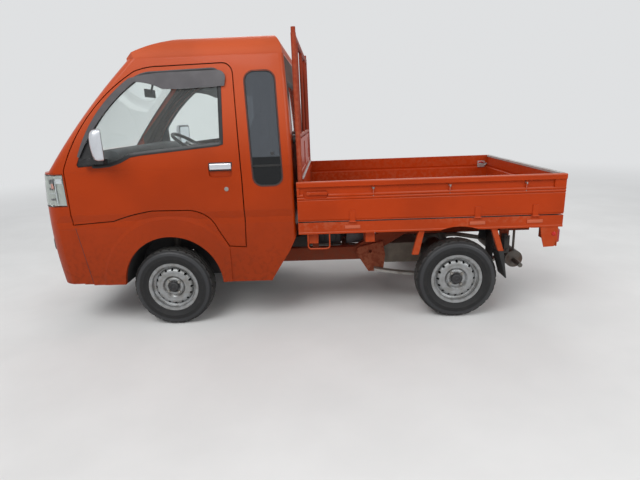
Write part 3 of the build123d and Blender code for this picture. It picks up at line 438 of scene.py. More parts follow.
def make_camera():
    """The photograph's camera, from its solved place and turns."""
    forward = Vector((math.sin(CAMERA_YAW), math.cos(CAMERA_YAW), 0.0))
    right = Vector((math.cos(CAMERA_YAW), -math.sin(CAMERA_YAW), 0.0))
    up = Vector((0.0, 0.0, 1.0))
    ahead = forward * math.cos(CAMERA_PITCH) - up * math.sin(CAMERA_PITCH)
    above = up * math.cos(CAMERA_PITCH) + forward * math.sin(CAMERA_PITCH)
    side = right * math.cos(CAMERA_ROLL) + above * math.sin(CAMERA_ROLL)
    top = above * math.cos(CAMERA_ROLL) - right * math.sin(CAMERA_ROLL)
    turn = Matrix((side, top, -ahead)).transposed().to_4x4()
    data = bpy.data.cameras.new("camera")
    data.lens = CAMERA_LENS
    data.sensor_width = 36.0
    data.clip_start = 0.05
    camera = add_object("camera", data)
    camera.matrix_world = Matrix.Translation(CAMERA_AT) @ turn
    bpy.context.scene.camera = camera


def add_light(name, place, target, size, power):
    data = bpy.data.lights.new(name, "AREA")
    data.shape = "RECTANGLE"
    data.size, data.size_y = size
    data.energy = power
    light = add_object(name, data)
    light.location = place
    light.rotation_euler = (Vector(target) - Vector(place)).to_track_quat("-Z", "Y").to_euler()


def show_pale(s, kind, end, fade=1.0):
    """Camera, transmission and glossy rays see the pale backdrop instead, as far as fade says."""
    path = s.node("LightPath").outputs
    seen = s.math("MAXIMUM", path["Is Camera Ray"], path["Is Transmission Ray"])
    seen = s.math("MAXIMUM", seen, path["Is Glossy Ray"])
    pale = s.node(kind, Color=(*PALE, 1.0))
    blend = s.node("MixShader")
    s.link(s.times(seen, fade), blend.inputs[0])
    s.link(s.main.outputs[0], blend.inputs[1])
    s.link(pale.outputs[0], blend.inputs[2])
    s.link(blend.outputs[0], s.nodes[end].inputs["Surface"])


def make_stage():
    """A pale floor, a pale world and soft lamps."""
    bpy.ops.mesh.primitive_plane_add(size=60.0, location=(0, 0, 0))
    floor = bpy.context.object
    floor.name = "floor"
    s = Shader("floor").set(Roughness=0.85, Specular_IOR_Level=0.2)
    tone = s.mix(s.ramp(s.noise(1.6, 4.0), 0.3, 0.7), (0.72, 0.72, 0.71), (0.76, 0.76, 0.75))
    s.link(tone, s.main.inputs["Base Color"])
    far = s.node("VectorMath", operation="LENGTH")
    s.link(s.place(), far.inputs[0])
    show_pale(s, "Emission", "Material Output", s.ramp(far.outputs["Value"], 3.0, 11.0))
    floor.data.materials.append(s.material)
    world = bpy.data.worlds.new("world")
    bpy.context.scene.world = world
    sky = Shader("world", world).set(Color=(0.86, 0.88, 0.91), Strength=0.5)
    show_pale(sky, "Background", "World Output")
    add_light("key", (-2.6, -5.0, 6.2), (0.0, 0.0, 0.7), (5.0, 4.0), 330)
    add_light("fill", (4.6, -4.2, 3.6), (0.4, 0.0, 0.6), (4.0, 3.0), 110)
    add_light("back", (0.5, 5.5, 5.2), (0.2, 0.0, 0.8), (6.0, 3.0), 200)


def finish_scene():
    bpy.context.scene.view_settings.view_transform = "Standard"


def at(x, y, z):
    """A point given in the part's own millimetres, measured back from the front axle."""
    return Vector(((x - 862.5) / 1000, y / 1000, z / 1000))


def side_name(s):
    return "left" if s < 0 else "right"


def tree_of(*names):
    """A search tree over the meshes of some CAD nodes."""
    verts = []
    faces = []
    for name in names:
        mesh = NODES[name].data
        start = len(verts)
        verts += [v.co.copy() for v in mesh.vertices]
        faces += [[start + i for i in p.vertices] for p in mesh.polygons]
    return BVHTree.FromPolygons(verts, faces)


def touch(tree, x, y, z, towards):
    """The place and normal where a ray from a point in millimetres first meets the tree."""
    return tree.ray_cast(at(x, y, z), Vector(towards))[:2]


def welded(node):
    """A working copy of a CAD node's mesh with its split vertices joined."""
    bm = bmesh.new()
    bm.from_mesh(NODES[node].data)
    bmesh.ops.remove_doubles(bm, verts=bm.verts, dist=1e-5)
    return bm


def add_piece(bm, name, material, body, angle=None):
    """An object of the mesh with its material, on its body, shaded smooth up to an angle."""
    mesh = bpy.data.meshes.new(name)
    bm.to_mesh(mesh)
    bm.free()
    if angle:
        mesh.shade_smooth()
        mesh.set_sharp_from_angle(angle=math.radians(angle))
    piece = add_object(name, mesh)
    mesh.materials.append(MATERIALS[material])
    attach(piece, body)
    return piece


class Builder:
    """Collects the geometry of one piece after another."""

    def __init__(self):
        self.bm = bmesh.new()

    def box(self, low, high, bevel=0.003, segments=2):
        """A rounded block between two corners."""
        low, high = Vector(low), Vector(high)
        matrix = Matrix.Translation((low + high) / 2) @ Matrix.Diagonal((*(high - low), 1.0))
        made = bmesh.ops.create_cube(self.bm, size=1.0, matrix=matrix)
        edges = {e for v in made["verts"] for e in v.link_edges}
        bmesh.ops.bevel(
            self.bm, geom=list(edges), offset=bevel, segments=segments, affect="EDGES", profile=0.5
        )

    def rings(self, rows, capped=False):
        """A skin through closed rings of points, with a face on each end when capped."""
        made = [[self.bm.verts.new(p) for p in row] for row in rows]
        for a, b in zip(made, made[1:]):
            for i in range(len(a)):
                j = (i + 1) % len(a)
                self.bm.faces.new((a[i], a[j], b[j], b[i]))
        if capped:
            self.bm.faces.new(made[0][::-1])
            self.bm.faces.new(made[-1])

    def lathe(self, profile, centre, axis, steps=32):
        """Turns (along, radius) points about an axis through centre."""
        axis = Vector(axis).normalized()
        centre = Vector(centre)
        side = axis.orthogonal().normalized()
        other = axis.cross(side)
        turns = [2 * math.pi * i / steps for i in range(steps)]
        outs = [side * math.cos(turn) + other * math.sin(turn) for turn in turns]
        self.rings([[centre + axis * along + out * max(r, 1e-5) for out in outs] for along, r in profile])

    def tube(self, points, radius, sides=10, smooth=6, flat=1.0):
        """A bar along a smooth line through some points; flat squeezes it in height."""
        points = [Vector(p) for p in points]
        line = []
        for i in range(len(points) - 1):
            p0 = points[max(i - 1, 0)]
            p1, p2 = points[i], points[i + 1]
            p3 = points[min(i + 2, len(points) - 1)]
            for k in range(smooth):
                t = k / smooth
                square = (2 * p0 - 5 * p1 + 4 * p2 - p3) * t * t
                cube = (3 * p1 - p0 - 3 * p2 + p3) * t * t * t
                line.append(0.5 * (2 * p1 + (p2 - p0) * t + square + cube))
        line.append(points[-1])
        normal = (line[1] - line[0]).orthogonal().normalized()
        rows = []
        for i, here in enumerate(line):
            ahead = line[min(i + 1, len(line) - 1)] - line[max(i - 1, 0)]
            ahead.normalize()
            normal = (normal - ahead * normal.dot(ahead)).normalized()
            other = ahead.cross(normal)
            row = []
            for k in range(sides):
                turn = 2 * math.pi * k / sides
                out = normal * math.cos(turn) * flat + other * math.sin(turn)
                row.append(here + out * radius)
            rows.append(row)
        self.rings(rows, capped=True)

    def grid(self, rows, closed=False):
        """A skin through rows of points; closed joins the last row to the first."""
        made = [[self.bm.verts.new(p) for p in row] for row in rows]
        pairs = list(zip(made, made[1:]))
        if closed:
            pairs.append((made[-1], made[0]))
        for a, b in pairs:
            for i in range(len(a) - 1):
                self.bm.faces.new((a[i], a[i + 1], b[i + 1], b[i]))

    def done(self, name, material, body="chassis", angle=40.0):
        """Makes a piece of the geometry so far, and starts afresh."""
        bm, self.bm = self.bm, bmesh.new()
        bmesh.ops.remove_doubles(bm, verts=bm.verts, dist=1e-5)
        bmesh.ops.recalc_face_normals(bm, faces=bm.faces)
        return add_piece(bm, name, material, body, angle)


TREAD_STEPS = 168
TREAD_CROWN = 267.8  # radius in the middle of the tread
TREAD_DROP = 3.0  # how much smaller it is TREAD_REACH away from the middle
TREAD_REACH = 38.5
# Half of the tyre's section, in millimetres: the wall as (across, radius) from the bead outwards,
# then the tread as (across, depth of groove)
TYRE_WALL = (
    (48.0, 153.0), (49.8, 168.5), (56.0, 168.9), (60.5, 172.0), (62.0, 177.0), (63.0, 180.5),
    (67.5, 190.0), (70.6, 200.0), (71.2, 201.0), (71.2, 203.0), (70.9, 204.0), (72.0, 212.0),
    (71.8, 222.0), (70.4, 232.0), (69.6, 233.5), (69.4, 236.0), (69.6, 237.5), (66.0, 246.0),
    (62.0, 251.0), (59.5, 252.5), (58.0, 253.0), (55.0, 257.5), (51.5, 261.0),
)
TYRE_TREAD = (
    (50.0, 0), (35.0, 0), (34.0, 6), (29.0, 6), (28.0, 0), (11.5, 0), (10.5, 6), (6.5, 6), (5.5, 0),
)


def tread_cut(kind, across, radius, step):
    """Depth of the cross cuts between the shoulder blocks, the ribs' sipes and the wall's lugs."""
    if kind == "rib" and across > 34 and step % 6 == 0:
        return 5.5
    if kind == "rib" and 10 < across < 30 and (step + 2) % 4 == 0:
        return 2.2
    if kind == "wall" and across < 60 and radius > 252 and step % 6 == 0:
        return 3.5
    return 0.0


def make_tyre(name):
    """A tyre with sidewall rings, four grooves and cut shoulder blocks."""
    axle_x, track = WHEEL_STATIONS[name]
    half = [(a, r, "wall") for a, r in TYRE_WALL]
    for a, depth in TYRE_TREAD:
        radius = TREAD_CROWN - TREAD_DROP * (a / TREAD_REACH) ** 2
        half.append((a, radius - depth, "groove" if depth else "rib"))
    whole = half + [(-a, r, kind) for a, r, kind in reversed(half)]
    centre = at(axle_x, track, HUB_Z)
    rows = []
    for i in range(TREAD_STEPS):
        turn = 2 * math.pi * i / TREAD_STEPS
        row = []
        for across, radius, kind in whole:
            r = (radius - tread_cut(kind, abs(across), radius, i)) / 1000
            row.append(centre + Vector((r * math.cos(turn), across / 1000, r * math.sin(turn))))
        rows.append(row)
    b = Builder()
    b.grid(rows, closed=True)
    piece = b.done("tyre_detail_" + name, "tyre", "wheel_" + name, 28)
    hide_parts("tyre_" + name)


# Turned forms as (along, radius) in metres
DISC_RING = (
    (-0.002, 0.038), (0.003, 0.039), (0.006, 0.043), (0.007, 0.050), (0.006, 0.057), (0.003, 0.061),
    (-0.002, 0.062),
)
WHEEL_NUT = (
    (0.0, 0.0), (0.0, 0.0105), (0.004, 0.0102), (0.006, 0.0092), (0.013, 0.0088), (0.015, 0.0068),
    (0.0155, 0.0),
)
NUT_WASHER = ((0.0, 0.0), (0.0, 0.0125), (0.0025, 0.012), (0.003, 0.0))
HUB_CAP = (
    (-0.014, 0.0), (-0.014, 0.0345), (0.003, 0.0340), (0.008, 0.0315), (0.0105, 0.026),
    (0.0108, 0.020), (0.0085, 0.018), (0.0085, 0.008), (0.0100, 0.006), (0.0102, 0.0),
)
NUT_CIRCLE = 0.050


def make_wheel_fittings(name):
    """The raised ring on the disc with four nuts, and the black centre cap."""
    axle_x, track = WHEEL_STATIONS[name]
    s = -1 if track < 0 else 1
    out = Vector((0, s, 0))
    rim = tree_of("rim_" + name)
    body = "wheel_" + name
    seat_y = touch(rim, axle_x + 50, s * OUTSIDE, HUB_Z, -out)[0].y
    centre = Vector((at(axle_x, 0, 0).x, seat_y, HUB_Z / 1000))
    b = Builder()
    b.lathe(DISC_RING, centre, out, 48)
    b.done("disc_ring_" + name, "rim_silver", body, 60)
    for i in range(4):
        turn = math.radians(40 + 90 * i)
        along, up = NUT_CIRCLE * math.cos(turn), NUT_CIRCLE * math.sin(turn)
        place = centre + Vector((along, s * 0.0055, up))
        b.lathe(WHEEL_NUT, place, out, 6)
        b.lathe(NUT_WASHER, place, out, 20)
    b.done("wheel_nuts_" + name, "bare_steel", body, 30)
    hub_y = touch(rim, axle_x + 20, s * OUTSIDE, HUB_Z, -out)[0].y
    b.lathe(HUB_CAP, Vector((centre.x, hub_y, centre.z)), out, 40)
    b.done("hub_cap_" + name, "black_plastic", body)


def glass_edge(node, out):
    """The outer boundary of a glass node's outward face, as ordered points with normals."""
    bm = welded(node)
    keep = {f for f in bm.faces if f.normal.dot(out) > 0.35}
    links = {}
    for e in bm.edges:
        inside = [f for f in e.link_faces if f in keep]
        if len(inside) == 1:
            a, b = e.verts
            normal = inside[0].normal.copy()
            links.setdefault(a, []).append((b, normal))
            links.setdefault(b, []).append((a, normal))
    loops = []
    left = dict.fromkeys(links)
    while left:
        loop = []
        here, last = next(iter(left)), None
        while here in left:
            del left[here]
            loop.append((here.co.copy(), links[here][0][1]))
            step = [v for v, _ in links[here] if v is not last and v in left]
            last = here
            if not step:
                break
            here = step[0]
        loops.append(loop)
    bm.free()
    return loops


def spread(loop, gap):
    """The loop's points and normals at even distances."""
    out = []
    for i, (a, normal) in enumerate(loop):
        b, other = loop[(i + 1) % len(loop)]
        parts = max(1, int((b - a).length / gap))
        for k in range(parts):
            t = k / parts
            out.append((a.lerp(b, t), normal.lerp(other, t).normalized()))
    return out


# Sections of the seals as (across, up) in millimetres from the glass's edge
DOOR_TRIM = ((-9, -1.5), (-8, 2.0), (-2, 4.0), (3, 6.6), (12, 6.9), (16, 6.2), (17, 3.5))
SCREEN_TRIM = ((-22, 0.4), (-21, 1.4), (-4, 2.6), (3, 6.0), (10, 6.4), (14, 4.0))
QUARTER_TRIM = ((-7, 0.4), (-6, 1.6), (-1, 3.0), (3, 4.6), (5, 4.4), (6, 3.0))
SEAL_STEP = 0.02


def make_seal(name, node, out, section, material="rubber", body="chassis"):
    """A rubber or trim strip round a glass."""
    b = Builder()
    for loop in glass_edge(node, Vector(out)):
        if len(loop) < 8:
            continue
        line = spread(loop, SEAL_STEP)
        middle = sum((p for p, _ in line), Vector()) / len(line)
        rows = []
        count = len(line)
        for i, (here, normal) in enumerate(line):
            ahead = (line[(i + 1) % count][0] - line[i - 1][0]).normalized()
            across = ahead.cross(normal).normalized()
            if across.dot(here - middle) < 0:
                across = -across
            rows.append([here + across * (u / 1000) + normal * (v / 1000) for u, v in section])
        b.grid(rows, closed=True)
    b.done(name, material, body, 50)


def make_seals():
    for s in SIDES:
        word = side_name(s)
        out = (0, s, 0)
        door = "door_" + word
        make_seal("door_window_trim_" + word, "door_glass_" + word, out, DOOR_TRIM, "black_trim", door)
        make_seal("quarter_window_seal_" + word, "quarter_windows", out, QUARTER_TRIM)
    make_seal("windscreen_seal", "windscreen", (-0.8, 0, 0.6), SCREEN_TRIM)
    make_seal("rear_window_seal", "rear_window", (1, 0, 0), SCREEN_TRIM)


KEY_CYLINDER = (
    (-0.004, 0.0), (-0.004, 0.014), (0.001, 0.014), (0.003, 0.0125), (0.003, 0.009), (0.0015, 0.0085),
    (0.002, 0),
)


def make_door_fittings(s):
    """Outside handle with its black bezel, and the key cylinder."""
    word = side_name(s)
    door = "door_" + word
    skin = tree_of(door)

    def surface(x, z):
        hit = touch(skin, x, s * OUTSIDE, z, (0, -s, 0))[0]
        return abs(hit.y) * 1000

    y = surface(398, 1100)
    b = Builder()
    b.box(at(323, s * (y - 6), 1040), at(473, s * (y + 5), 1093), 0.006, 3)
    b.done("handle_bezel_" + word, "black_plastic", door, 35)
    b.box(at(329, s * (y + 0.5), 1048), at(467, s * (y + 13), 1086), 0.0065, 4)
    b.done("handle_" + word, "mirror_chrome", door, 50)
    y = surface(425, 925)
    b.lathe(KEY_CYLINDER, at(425, s * y, 925), (0, s, 0), 32)
    b.box(at(423.6, s * (y + 0.5), 919), at(426.4, s * (y + 3), 931), 0.0004, 1)
    b.done("key_cylinder_" + word, "bare_steel", door, 30)


MIRROR_TURN = math.radians(27)
MIRROR_MIDDLE = (-283, 826)
# The mirror's shell: height, half width and depth in millimetres
MIRROR_ROWS = (
    (1139, 50, 36), (1141, 58, 44), (1147, 63, 51), (1165, 66, 57), (1200, 67.5, 62), (1240, 68, 64),
    (1275, 67.5, 62), (1298, 66, 56), (1310, 63, 48), (1317, 57, 39), (1320, 48, 29),
)
# Its black bezel: height, half width and how far it stands out; its glass: height and half width
BEZEL_ROWS = (
    (1146, 54, 1.6), (1149, 59, 3.2), (1168, 62, 3.4), (1240, 63.5, 3.4), (1294, 62, 3.4),
    (1309, 57, 3.2), (1313, 51, 1.6),
)
GLASS_ROWS = ((1156, 52), (1172, 56.5), (1240, 58), (1288, 56.5), (1302, 51))
MIRROR_PIVOT = ((-0.012, 0.0), (-0.012, 0.014), (0.004, 0.014), (0.007, 0.010), (0.007, 0.0))
# Where the CAD's own arm ends, in metres: beyond the reach, or beyond the foot and above its top
ARM_REACH = 0.8005
FOOT_REACH = 0.7525
FOOT_TOP = 1.1405


def make_mirror(s):
    """The mirror: the CAD's sail, foot and arm, with a slimmer shell turned in towards the driver."""
    word = side_name(s)
    node = "mirror_" + word
    door = "door_" + word
    bm = welded(node)
    drop = []
    for f in bm.faces:
        middle = f.calc_center_median()
        reach = max(abs(v.co.y) for v in f.verts)
        if reach > ARM_REACH or (abs(middle.y) > FOOT_REACH and middle.z > FOOT_TOP):
            drop.append(f)
    bmesh.ops.delete(bm, geom=drop, context="FACES")
    arm = add_piece(bm, "mirror_arm_" + word, "black_trim", door, 35)

    normal = Vector((math.cos(MIRROR_TURN), -s * math.sin(MIRROR_TURN), 0))
    wide = Vector((math.sin(MIRROR_TURN), s * math.cos(MIRROR_TURN), 0))
    origin = at(MIRROR_MIDDLE[0], s * MIRROR_MIDDLE[1], 0)

    def spot(u, v, z):
        return origin + wide * (u / 1000) + normal * (v / 1000) + Vector((0, 0, z / 1000))

    def plate(half, low, high, z):
        return [spot(half, low, z), spot(half - 1, high, z), spot(-half + 1, high, z), spot(-half, low, z)]

    def skin(rows, name, material):
        b = Builder()
        b.rings(rows, capped=True)
        return b.done(name + word, material, door, 50)

    rows = []
    for z, half, depth in MIRROR_ROWS:
        row = []
        for i in range(25):
            turn = math.pi * i / 24
            c, d = math.cos(turn), math.sin(turn)
            row.append(spot(half * math.copysign(abs(c) ** 0.6, c), -depth * d ** 0.72, z))
        rows.append(row + [spot(-half + 3, 1.5, z), spot(half - 3, 1.5, z)])
    shell = skin(rows, "mirror_shell_", "mirror_shell")
    skin([plate(half, 0.5, v, z) for z, half, v in BEZEL_ROWS], "mirror_bezel_", "black_trim")
    skin([plate(half, 3.0, 4.2, z) for z, half in GLASS_ROWS], "mirror_glass_", "mirror_glass")
    b = Builder()
    b.lathe(MIRROR_PIVOT, at(-326, s * 784, 1136), (0, 0, 1), 24)
    b.done("mirror_pivot_" + word, "black_plastic", door, 35)
    for piece in (arm, shell):
        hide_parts(node)


# Turn signal, dividers and plates behind the lens: x, z, width, height, material
LAMP_DETAILS = (
    (-696, 1006, 38, 30, "grey_plastic"),
    (-690, 978, 20, 36, "amber_lens"),
    (-703, 960, 30, 14, "grey_plastic"),
    (-668, 940, 5, 150, "mirror_chrome"),
    (-690, 930, 50, 4, "mirror_chrome"),
    (-640, 1008, 44, 30, "mirror_chrome"),
    (-700, 893, 30, 12, "grey_plastic"),
)
# Distances behind the lens's outer face, in metres
BOWL_DEPTH = 0.0075
DETAIL_DEPTHS = (0.0042, 0.0062)
HOUSING_DEPTH = 0.0125


def make_headlamp_inner(s):
    """Two bowls in front, and the turn signal and dividers at the side, behind the clear lens."""
    word = side_name(s)
    lens = tree_of("headlamps")
    b = Builder()
    for y, z, r in ((500, 954, 0.040), (590, 954, 0.036)):
        hit = touch(lens, -900, s * y, z, (1, 0, 0))[0]
        face = Vector((hit.x + BOWL_DEPTH, s * y / 1000, z / 1000))
        rim = [(0.0, r), (-0.0008, r + 0.002), (0.001, r + 0.003)]
        b.lathe(rim + [(0.0035, r * 0.8), (0.005, r * 0.5), (0.0055, 0.0)], face, (1, 0, 0), 40)
        b.lathe([(0.0, 0.0), (0.0, 0.009), (0.005, 0.009)], face, (1, 0, 0), 20)
    b.done("lamp_bowls_" + word, "mirror_chrome")
    for number, (x, z, wide, tall, material) in enumerate(LAMP_DETAILS):
        corners = []
        for u, w in ((-1, -1), (1, -1), (1, 1), (-1, 1)):
            corners.append(touch(lens, x + u * wide / 2, s * OUTSIDE, z + w * tall / 2, (0, -s, 0)))
        if any(place is None for place, _ in corners):
            continue
        for depth in DETAIL_DEPTHS:
            first, second, third, fourth = [place - normal * depth for place, normal in corners]
            b.grid([[first, second], [fourth, third]])
        b.done("lamp_detail_%s_%d" % (word, number), material, angle=35)


def make_lamp_body():
    """The lamp's housing: the lens form's outer faces drawn in, seen through the lens."""
    bm = welded("headlamps")
    bm.normal_update()
    start = {v: v.normal.copy() for v in bm.verts}
    for v in bm.verts:
        v.co -= start[v] * HOUSING_DEPTH
    drop = []
    for f in bm.faces:
        out = 1 if f.calc_center_median().y > 0 else -1
        if f.normal.x > -0.15 and f.normal.y * out < 0.15:
            drop.append(f)
    bmesh.ops.delete(bm, geom=drop, context="FACES")
    add_piece(bm, "lamp_housings", "lamp_silver", "chassis")


WIPER_PIVOT = ((-0.012, 0.0), (-0.012, 0.013), (0.004, 0.013), (0.008, 0.009), (0.008, 0.0))


def make_wipers():
    """Two arms and blades parked along the foot of the windscreen."""
    screen = tree_of("windscreen")

    def on_glass(y, z, lift):
        hit, normal = touch(screen, AHEAD, y, z, (1, 0, 0))
        if hit is None:
            hit, normal = at(-740, y, z), Vector((-0.8, 0, 0.6))
        if normal.x > 0:
            normal = -normal
        return hit + normal * lift

    for name, pivot, tip in (("left", -60, -500), ("right", 520, 80)):
        b = Builder()
        root = on_glass(pivot, 1098, 0.020)
        root.z -= 0.012
        middle = (on_glass(tip + 250, 1104, 0.010) + on_glass(tip, 1118, 0.010)) / 2
        b.lathe(WIPER_PIVOT, root, (-0.6, 0, 0.8), 20)
        knee = root.lerp(middle, 0.5) + Vector((-0.012, 0, 0.01))
        b.tube([root, knee, middle + Vector((-0.006, 0, 0.005))], 0.0052, 8, 6, 0.6)
        b.tube([on_glass(tip + 250 - 50 * i, 1104 + 2.8 * i, 0.011) for i in range(6)], 0.0042, 8, 4)
        b.tube([on_glass(tip + 258 - 53 * i, 1103 + 2.8 * i, 0.0042) for i in range(6)], 0.0032, 6, 4, 0.6)
        b.done("wiper_" + name, "black_plastic")


def make_cowl():
    """Black panel at the windscreen's foot, with two washer jets."""
    skin = tree_of("cab_body", "front_panel")
    rows = []
    for i in range(29):
        y = -590 + i * 1180 / 28
        row = []
        for z, lift in ((1064, 1.0), (1066, 4.0), (1078, 4.5), (1084, 1.0)):
            place = touch(skin, AHEAD, y, z, (1, 0, 0))[0] or at(-780, y, z)
            row.append(place + Vector((-lift / 1000, 0, lift / 2000)))
        rows.append(row)
    b = Builder()
    b.grid(rows)
    for y in (-260, 300):
        hit = touch(skin, AHEAD, y, 1074, (1, 0, 0))[0] or at(-780, y, 1074)
        b.box(hit + Vector((-0.010, -0.008, -0.002)), hit + Vector((0.002, 0.008, 0.008)), 0.002)
    b.done("cowl", "black_plastic")


def make_gate_fittings(s):
    """Hooks and rods, and the front lever, on a side gate."""
    word = side_name(s)
    gate = "side_gate_" + word
    b = Builder()
    for x in (1350, 1830, 2305):
        hook = ((724, 902), (730, 902), (732, 899), (732, 893))
        b.tube([at(x, s * y, z) for y, z in hook], 0.0045, 10, 4)
        b.lathe([(0, 0.0), (0, 0.009), (0.0025, 0.0085), (0.003, 0)], at(x, s * 721, 902), (0, s, 0), 20)
        b.tube([at(x, s * 724, z) for z in (898, 874, 846)], 0.0028, 8, 2)
    b.done("gate_hooks_" + word, "hook_steel", gate)
    b.box(at(936, s * 717, 868), at(1058, s * 724.5, 884), 0.003, 3)
    knob = [(0, 0.0), (0, 0.012), (0.006, 0.012), (0.009, 0.008), (0.009, 0)]
    b.lathe(knob, at(938, s * 717, 875), (0, s, 0), 24)
    b.done("gate_lever_" + word, "bed_orange", gate)


def make_bed_strips():
    """Worn metal caps on the tailgate and on the bed's front rail, and black rubber strips below the side
    gates, which paint the shade in the gap between gate and sill.
    """
    b = Builder()
    b.box(at(893, -655, 961), at(911, 655, 964.5), 0.0012, 2)
    b.done("front_rail_cap", "strip_silver", angle=35)
    b.box(at(2521.5, -692, 948), at(2552, 692, 951.5), 0.0012, 2)
    b.box(at(2521.5, -692, 936), at(2524, 692, 951), 0.001, 1)
    b.done("tailgate_cap", "strip_silver", "tailgate", 35)
    # Black strips on the sill tops: painted shade of the gap below the side gates
    for s in SIDES:
        b.box(at(870, s * 702, 687.5), at(2518, s * 725.5, 690), 0.0008, 1)
    b.done("gate_gap_shade_strips", "rubber", angle=35)


def make_hinge_covers():
    """Thin rubbed covers on the gate hinges' plates, on the outer face of each sill."""
    for s in SIDES:
        b = Builder()
        for x in (1215, 2010, 2372):
            b.box(at(x - 49, s * 729.2, 643), at(x + 49, s * 730.8, 664), 0.0007, 2)
        b.done("hinge_covers_" + side_name(s), "rubbed_orange")


def make_under_bed():
    """Air cleaner, battery in its tray, inner plates of the mudguards, which also stand in for the shade
    under the bed, and dampers.
    """
    b = Builder()
    b.box(at(912, -330, 438), at(1150, -110, 522), 0.016, 4)
    for x in (950, 990, 1030, 1070, 1110):
        b.box(at(x - 4, -336, 448), at(x + 4, -104, 526), 0.002, 1)
    hose = ((1145, -220, 480), (1185, -230, 492), (1215, -150, 500), (1222, 40, 498))
    b.tube([at(*place) for place in hose], 0.026, 16, 6)
    b.done("air_cleaner", "black_plastic")
    b.box(at(1180, -335, 440), at(1318, -190, 446), 0.002, 1)
    b.box(at(1186, -328, 446), at(1312, -196, 506), 0.005, 2)
    b.box(at(1190, -324, 506), at(1308, -200, 516), 0.003, 2)
    for x in (1205, 1292):
        pole = [(0.0, 0.0), (0.0, 0.007), (0.014, 0.0065), (0.014, 0.0)]
        b.lathe(pole, at(x, -215, 514), (0, 0, 1), 16)
    b.done("battery", "grey_plastic")
    # Black mudguard plates, also dark sheets for the shade under the bed
    for s in SIDES:
        b.box(at(2172, s * 424, 330), at(2176, s * 572, 560), 0.0015, 1)
        b.box(at(2120, s * 424, 470), at(2176, s * 428, 560), 0.0015, 1)
    b.done("mudguard_plates_for_bed_shade", "black_plastic")
    for s in SIDES:
        foot, head = at(1962, s * 372, 262), at(1850, s * 345, 545)
        run = head - foot
        joint, top = run.length * 0.5, run.length * 0.93
        tubes = [(0.0, 0.0), (0.0, 0.021), (joint, 0.021), (joint, 0.026), (top, 0.026), (top, 0.0)]
        b.lathe(tubes, foot, run, 24)
        for end in (foot, head):
            b.lathe([(-0.02, 0.0), (-0.02, 0.017), (0.02, 0.017), (0.02, 0.0)], end, (0, 1, 0), 20)
    b.done("dampers", "cast_dark")


BACKING_PLATE = (
    (-0.002, 0.034), (-0.002, 0.136), (0.0, 0.139), (0.004, 0.139), (0.004, 0.135), (0.001, 0.130),
    (0.001, 0.034),
)


def make_backing_plates():
    """Dark brake backing plates behind the wheels, and black splash shields inside the front arches, which
    also stand in for the shade there.
    """
    for name, (axle_x, track) in WHEEL_STATIONS.items():
        s = -1 if track < 0 else 1
        front = name.startswith("front")
        b = Builder()
        b.lathe(BACKING_PLATE, at(axle_x, s * (618 if front else 606), HUB_Z), (0, s, 0), 48)
        b.done("backing_plate_" + name, "cast_dark", "knuckle_" + side_name(s) if front else "chassis")
    # Black splash shields, also dark sheets for the shade inside the front arches
    for s in SIDES:
        b.box(at(-345, s * 414, 450), at(395, s * 418, 560), 0.0015, 1)
        b.box(at(-345, s * 414, 300), at(-75, s * 418, 450), 0.0015, 1)
        b.box(at(75, s * 414, 262), at(395, s * 418, 450), 0.0015, 1)
    b.done("splash_shields_for_arch_shade", "black_plastic")


def make_corner_latches():
    """The latch at the rear end of each side gate, on its inner face, with its red grip."""
    for s in SIDES:
        word = side_name(s)
        gate = "side_gate_" + word
        b = Builder()
        b.box(at(2440, s * 692, 842), at(2506, s * 701.5, 900), 0.003, 2)
        knob = [(0, 0.0), (0, 0.012), (0.006, 0.0115), (0.008, 0.0)]
        b.lathe(knob, at(2460, s * 693, 872), (0, -s, 0), 20)
        b.tube([at(2500, s * 690, 860), at(2512, s * 690, 868), at(2520, s * 692, 880)], 0.005, 10, 4)
        b.done("gate_latch_" + word, "strip_silver", gate)
        b.tube([at(2446, s * 689, 884), at(2466, s * 686, 890), at(2490, s * 688, 886)], 0.0065, 10, 5)
        b.done("latch_grip_" + word, "tail_lens", gate)


REFLECTOR = ((-0.001, 0.0), (-0.001, 0.0135), (0.004, 0.0135), (0.0055, 0.011), (0.0048, 0))


def make_tail_fittings():
    """Latches at both ends of the tailgate, the blank plate and the side reflectors."""
    b = Builder()
    for s in SIDES:
        b.box(at(2549, s * 640, 884), at(2554, s * 684, 932), 0.002, 2)
        b.tube([at(2553, s * 662, 928), at(2554.5, s * 662, 908), at(2554.5, s * 662, 888)], 0.0045, 10, 4)
        knob = [(0, 0), (0, 0.011), (0.004, 0.011), (0.006, 0.007), (0.006, 0)]
        b.lathe(knob, at(2552, s * 662, 908), (1, 0, 0), 20)
    b.done("tailgate_latches", "hook_steel", "tailgate")
    b.box(at(2527, -165, 508), at(2529, 165, 600), 0.0008, 1)
    b.box(at(2526.5, -165, 500), at(2529, 165, 611), 0.0008, 1)
    b.done("rear_plate", "plate_white", angle=35)
    for s in SIDES:
        b.lathe(REFLECTOR, at(2500, s * 726, 567), (0, s, 0), 28)
        b.done("reflector_" + side_name(s), "tail_lens")


SEAM_TOP = (-598, 800)
SEAM_FOOT = (-528, 322)


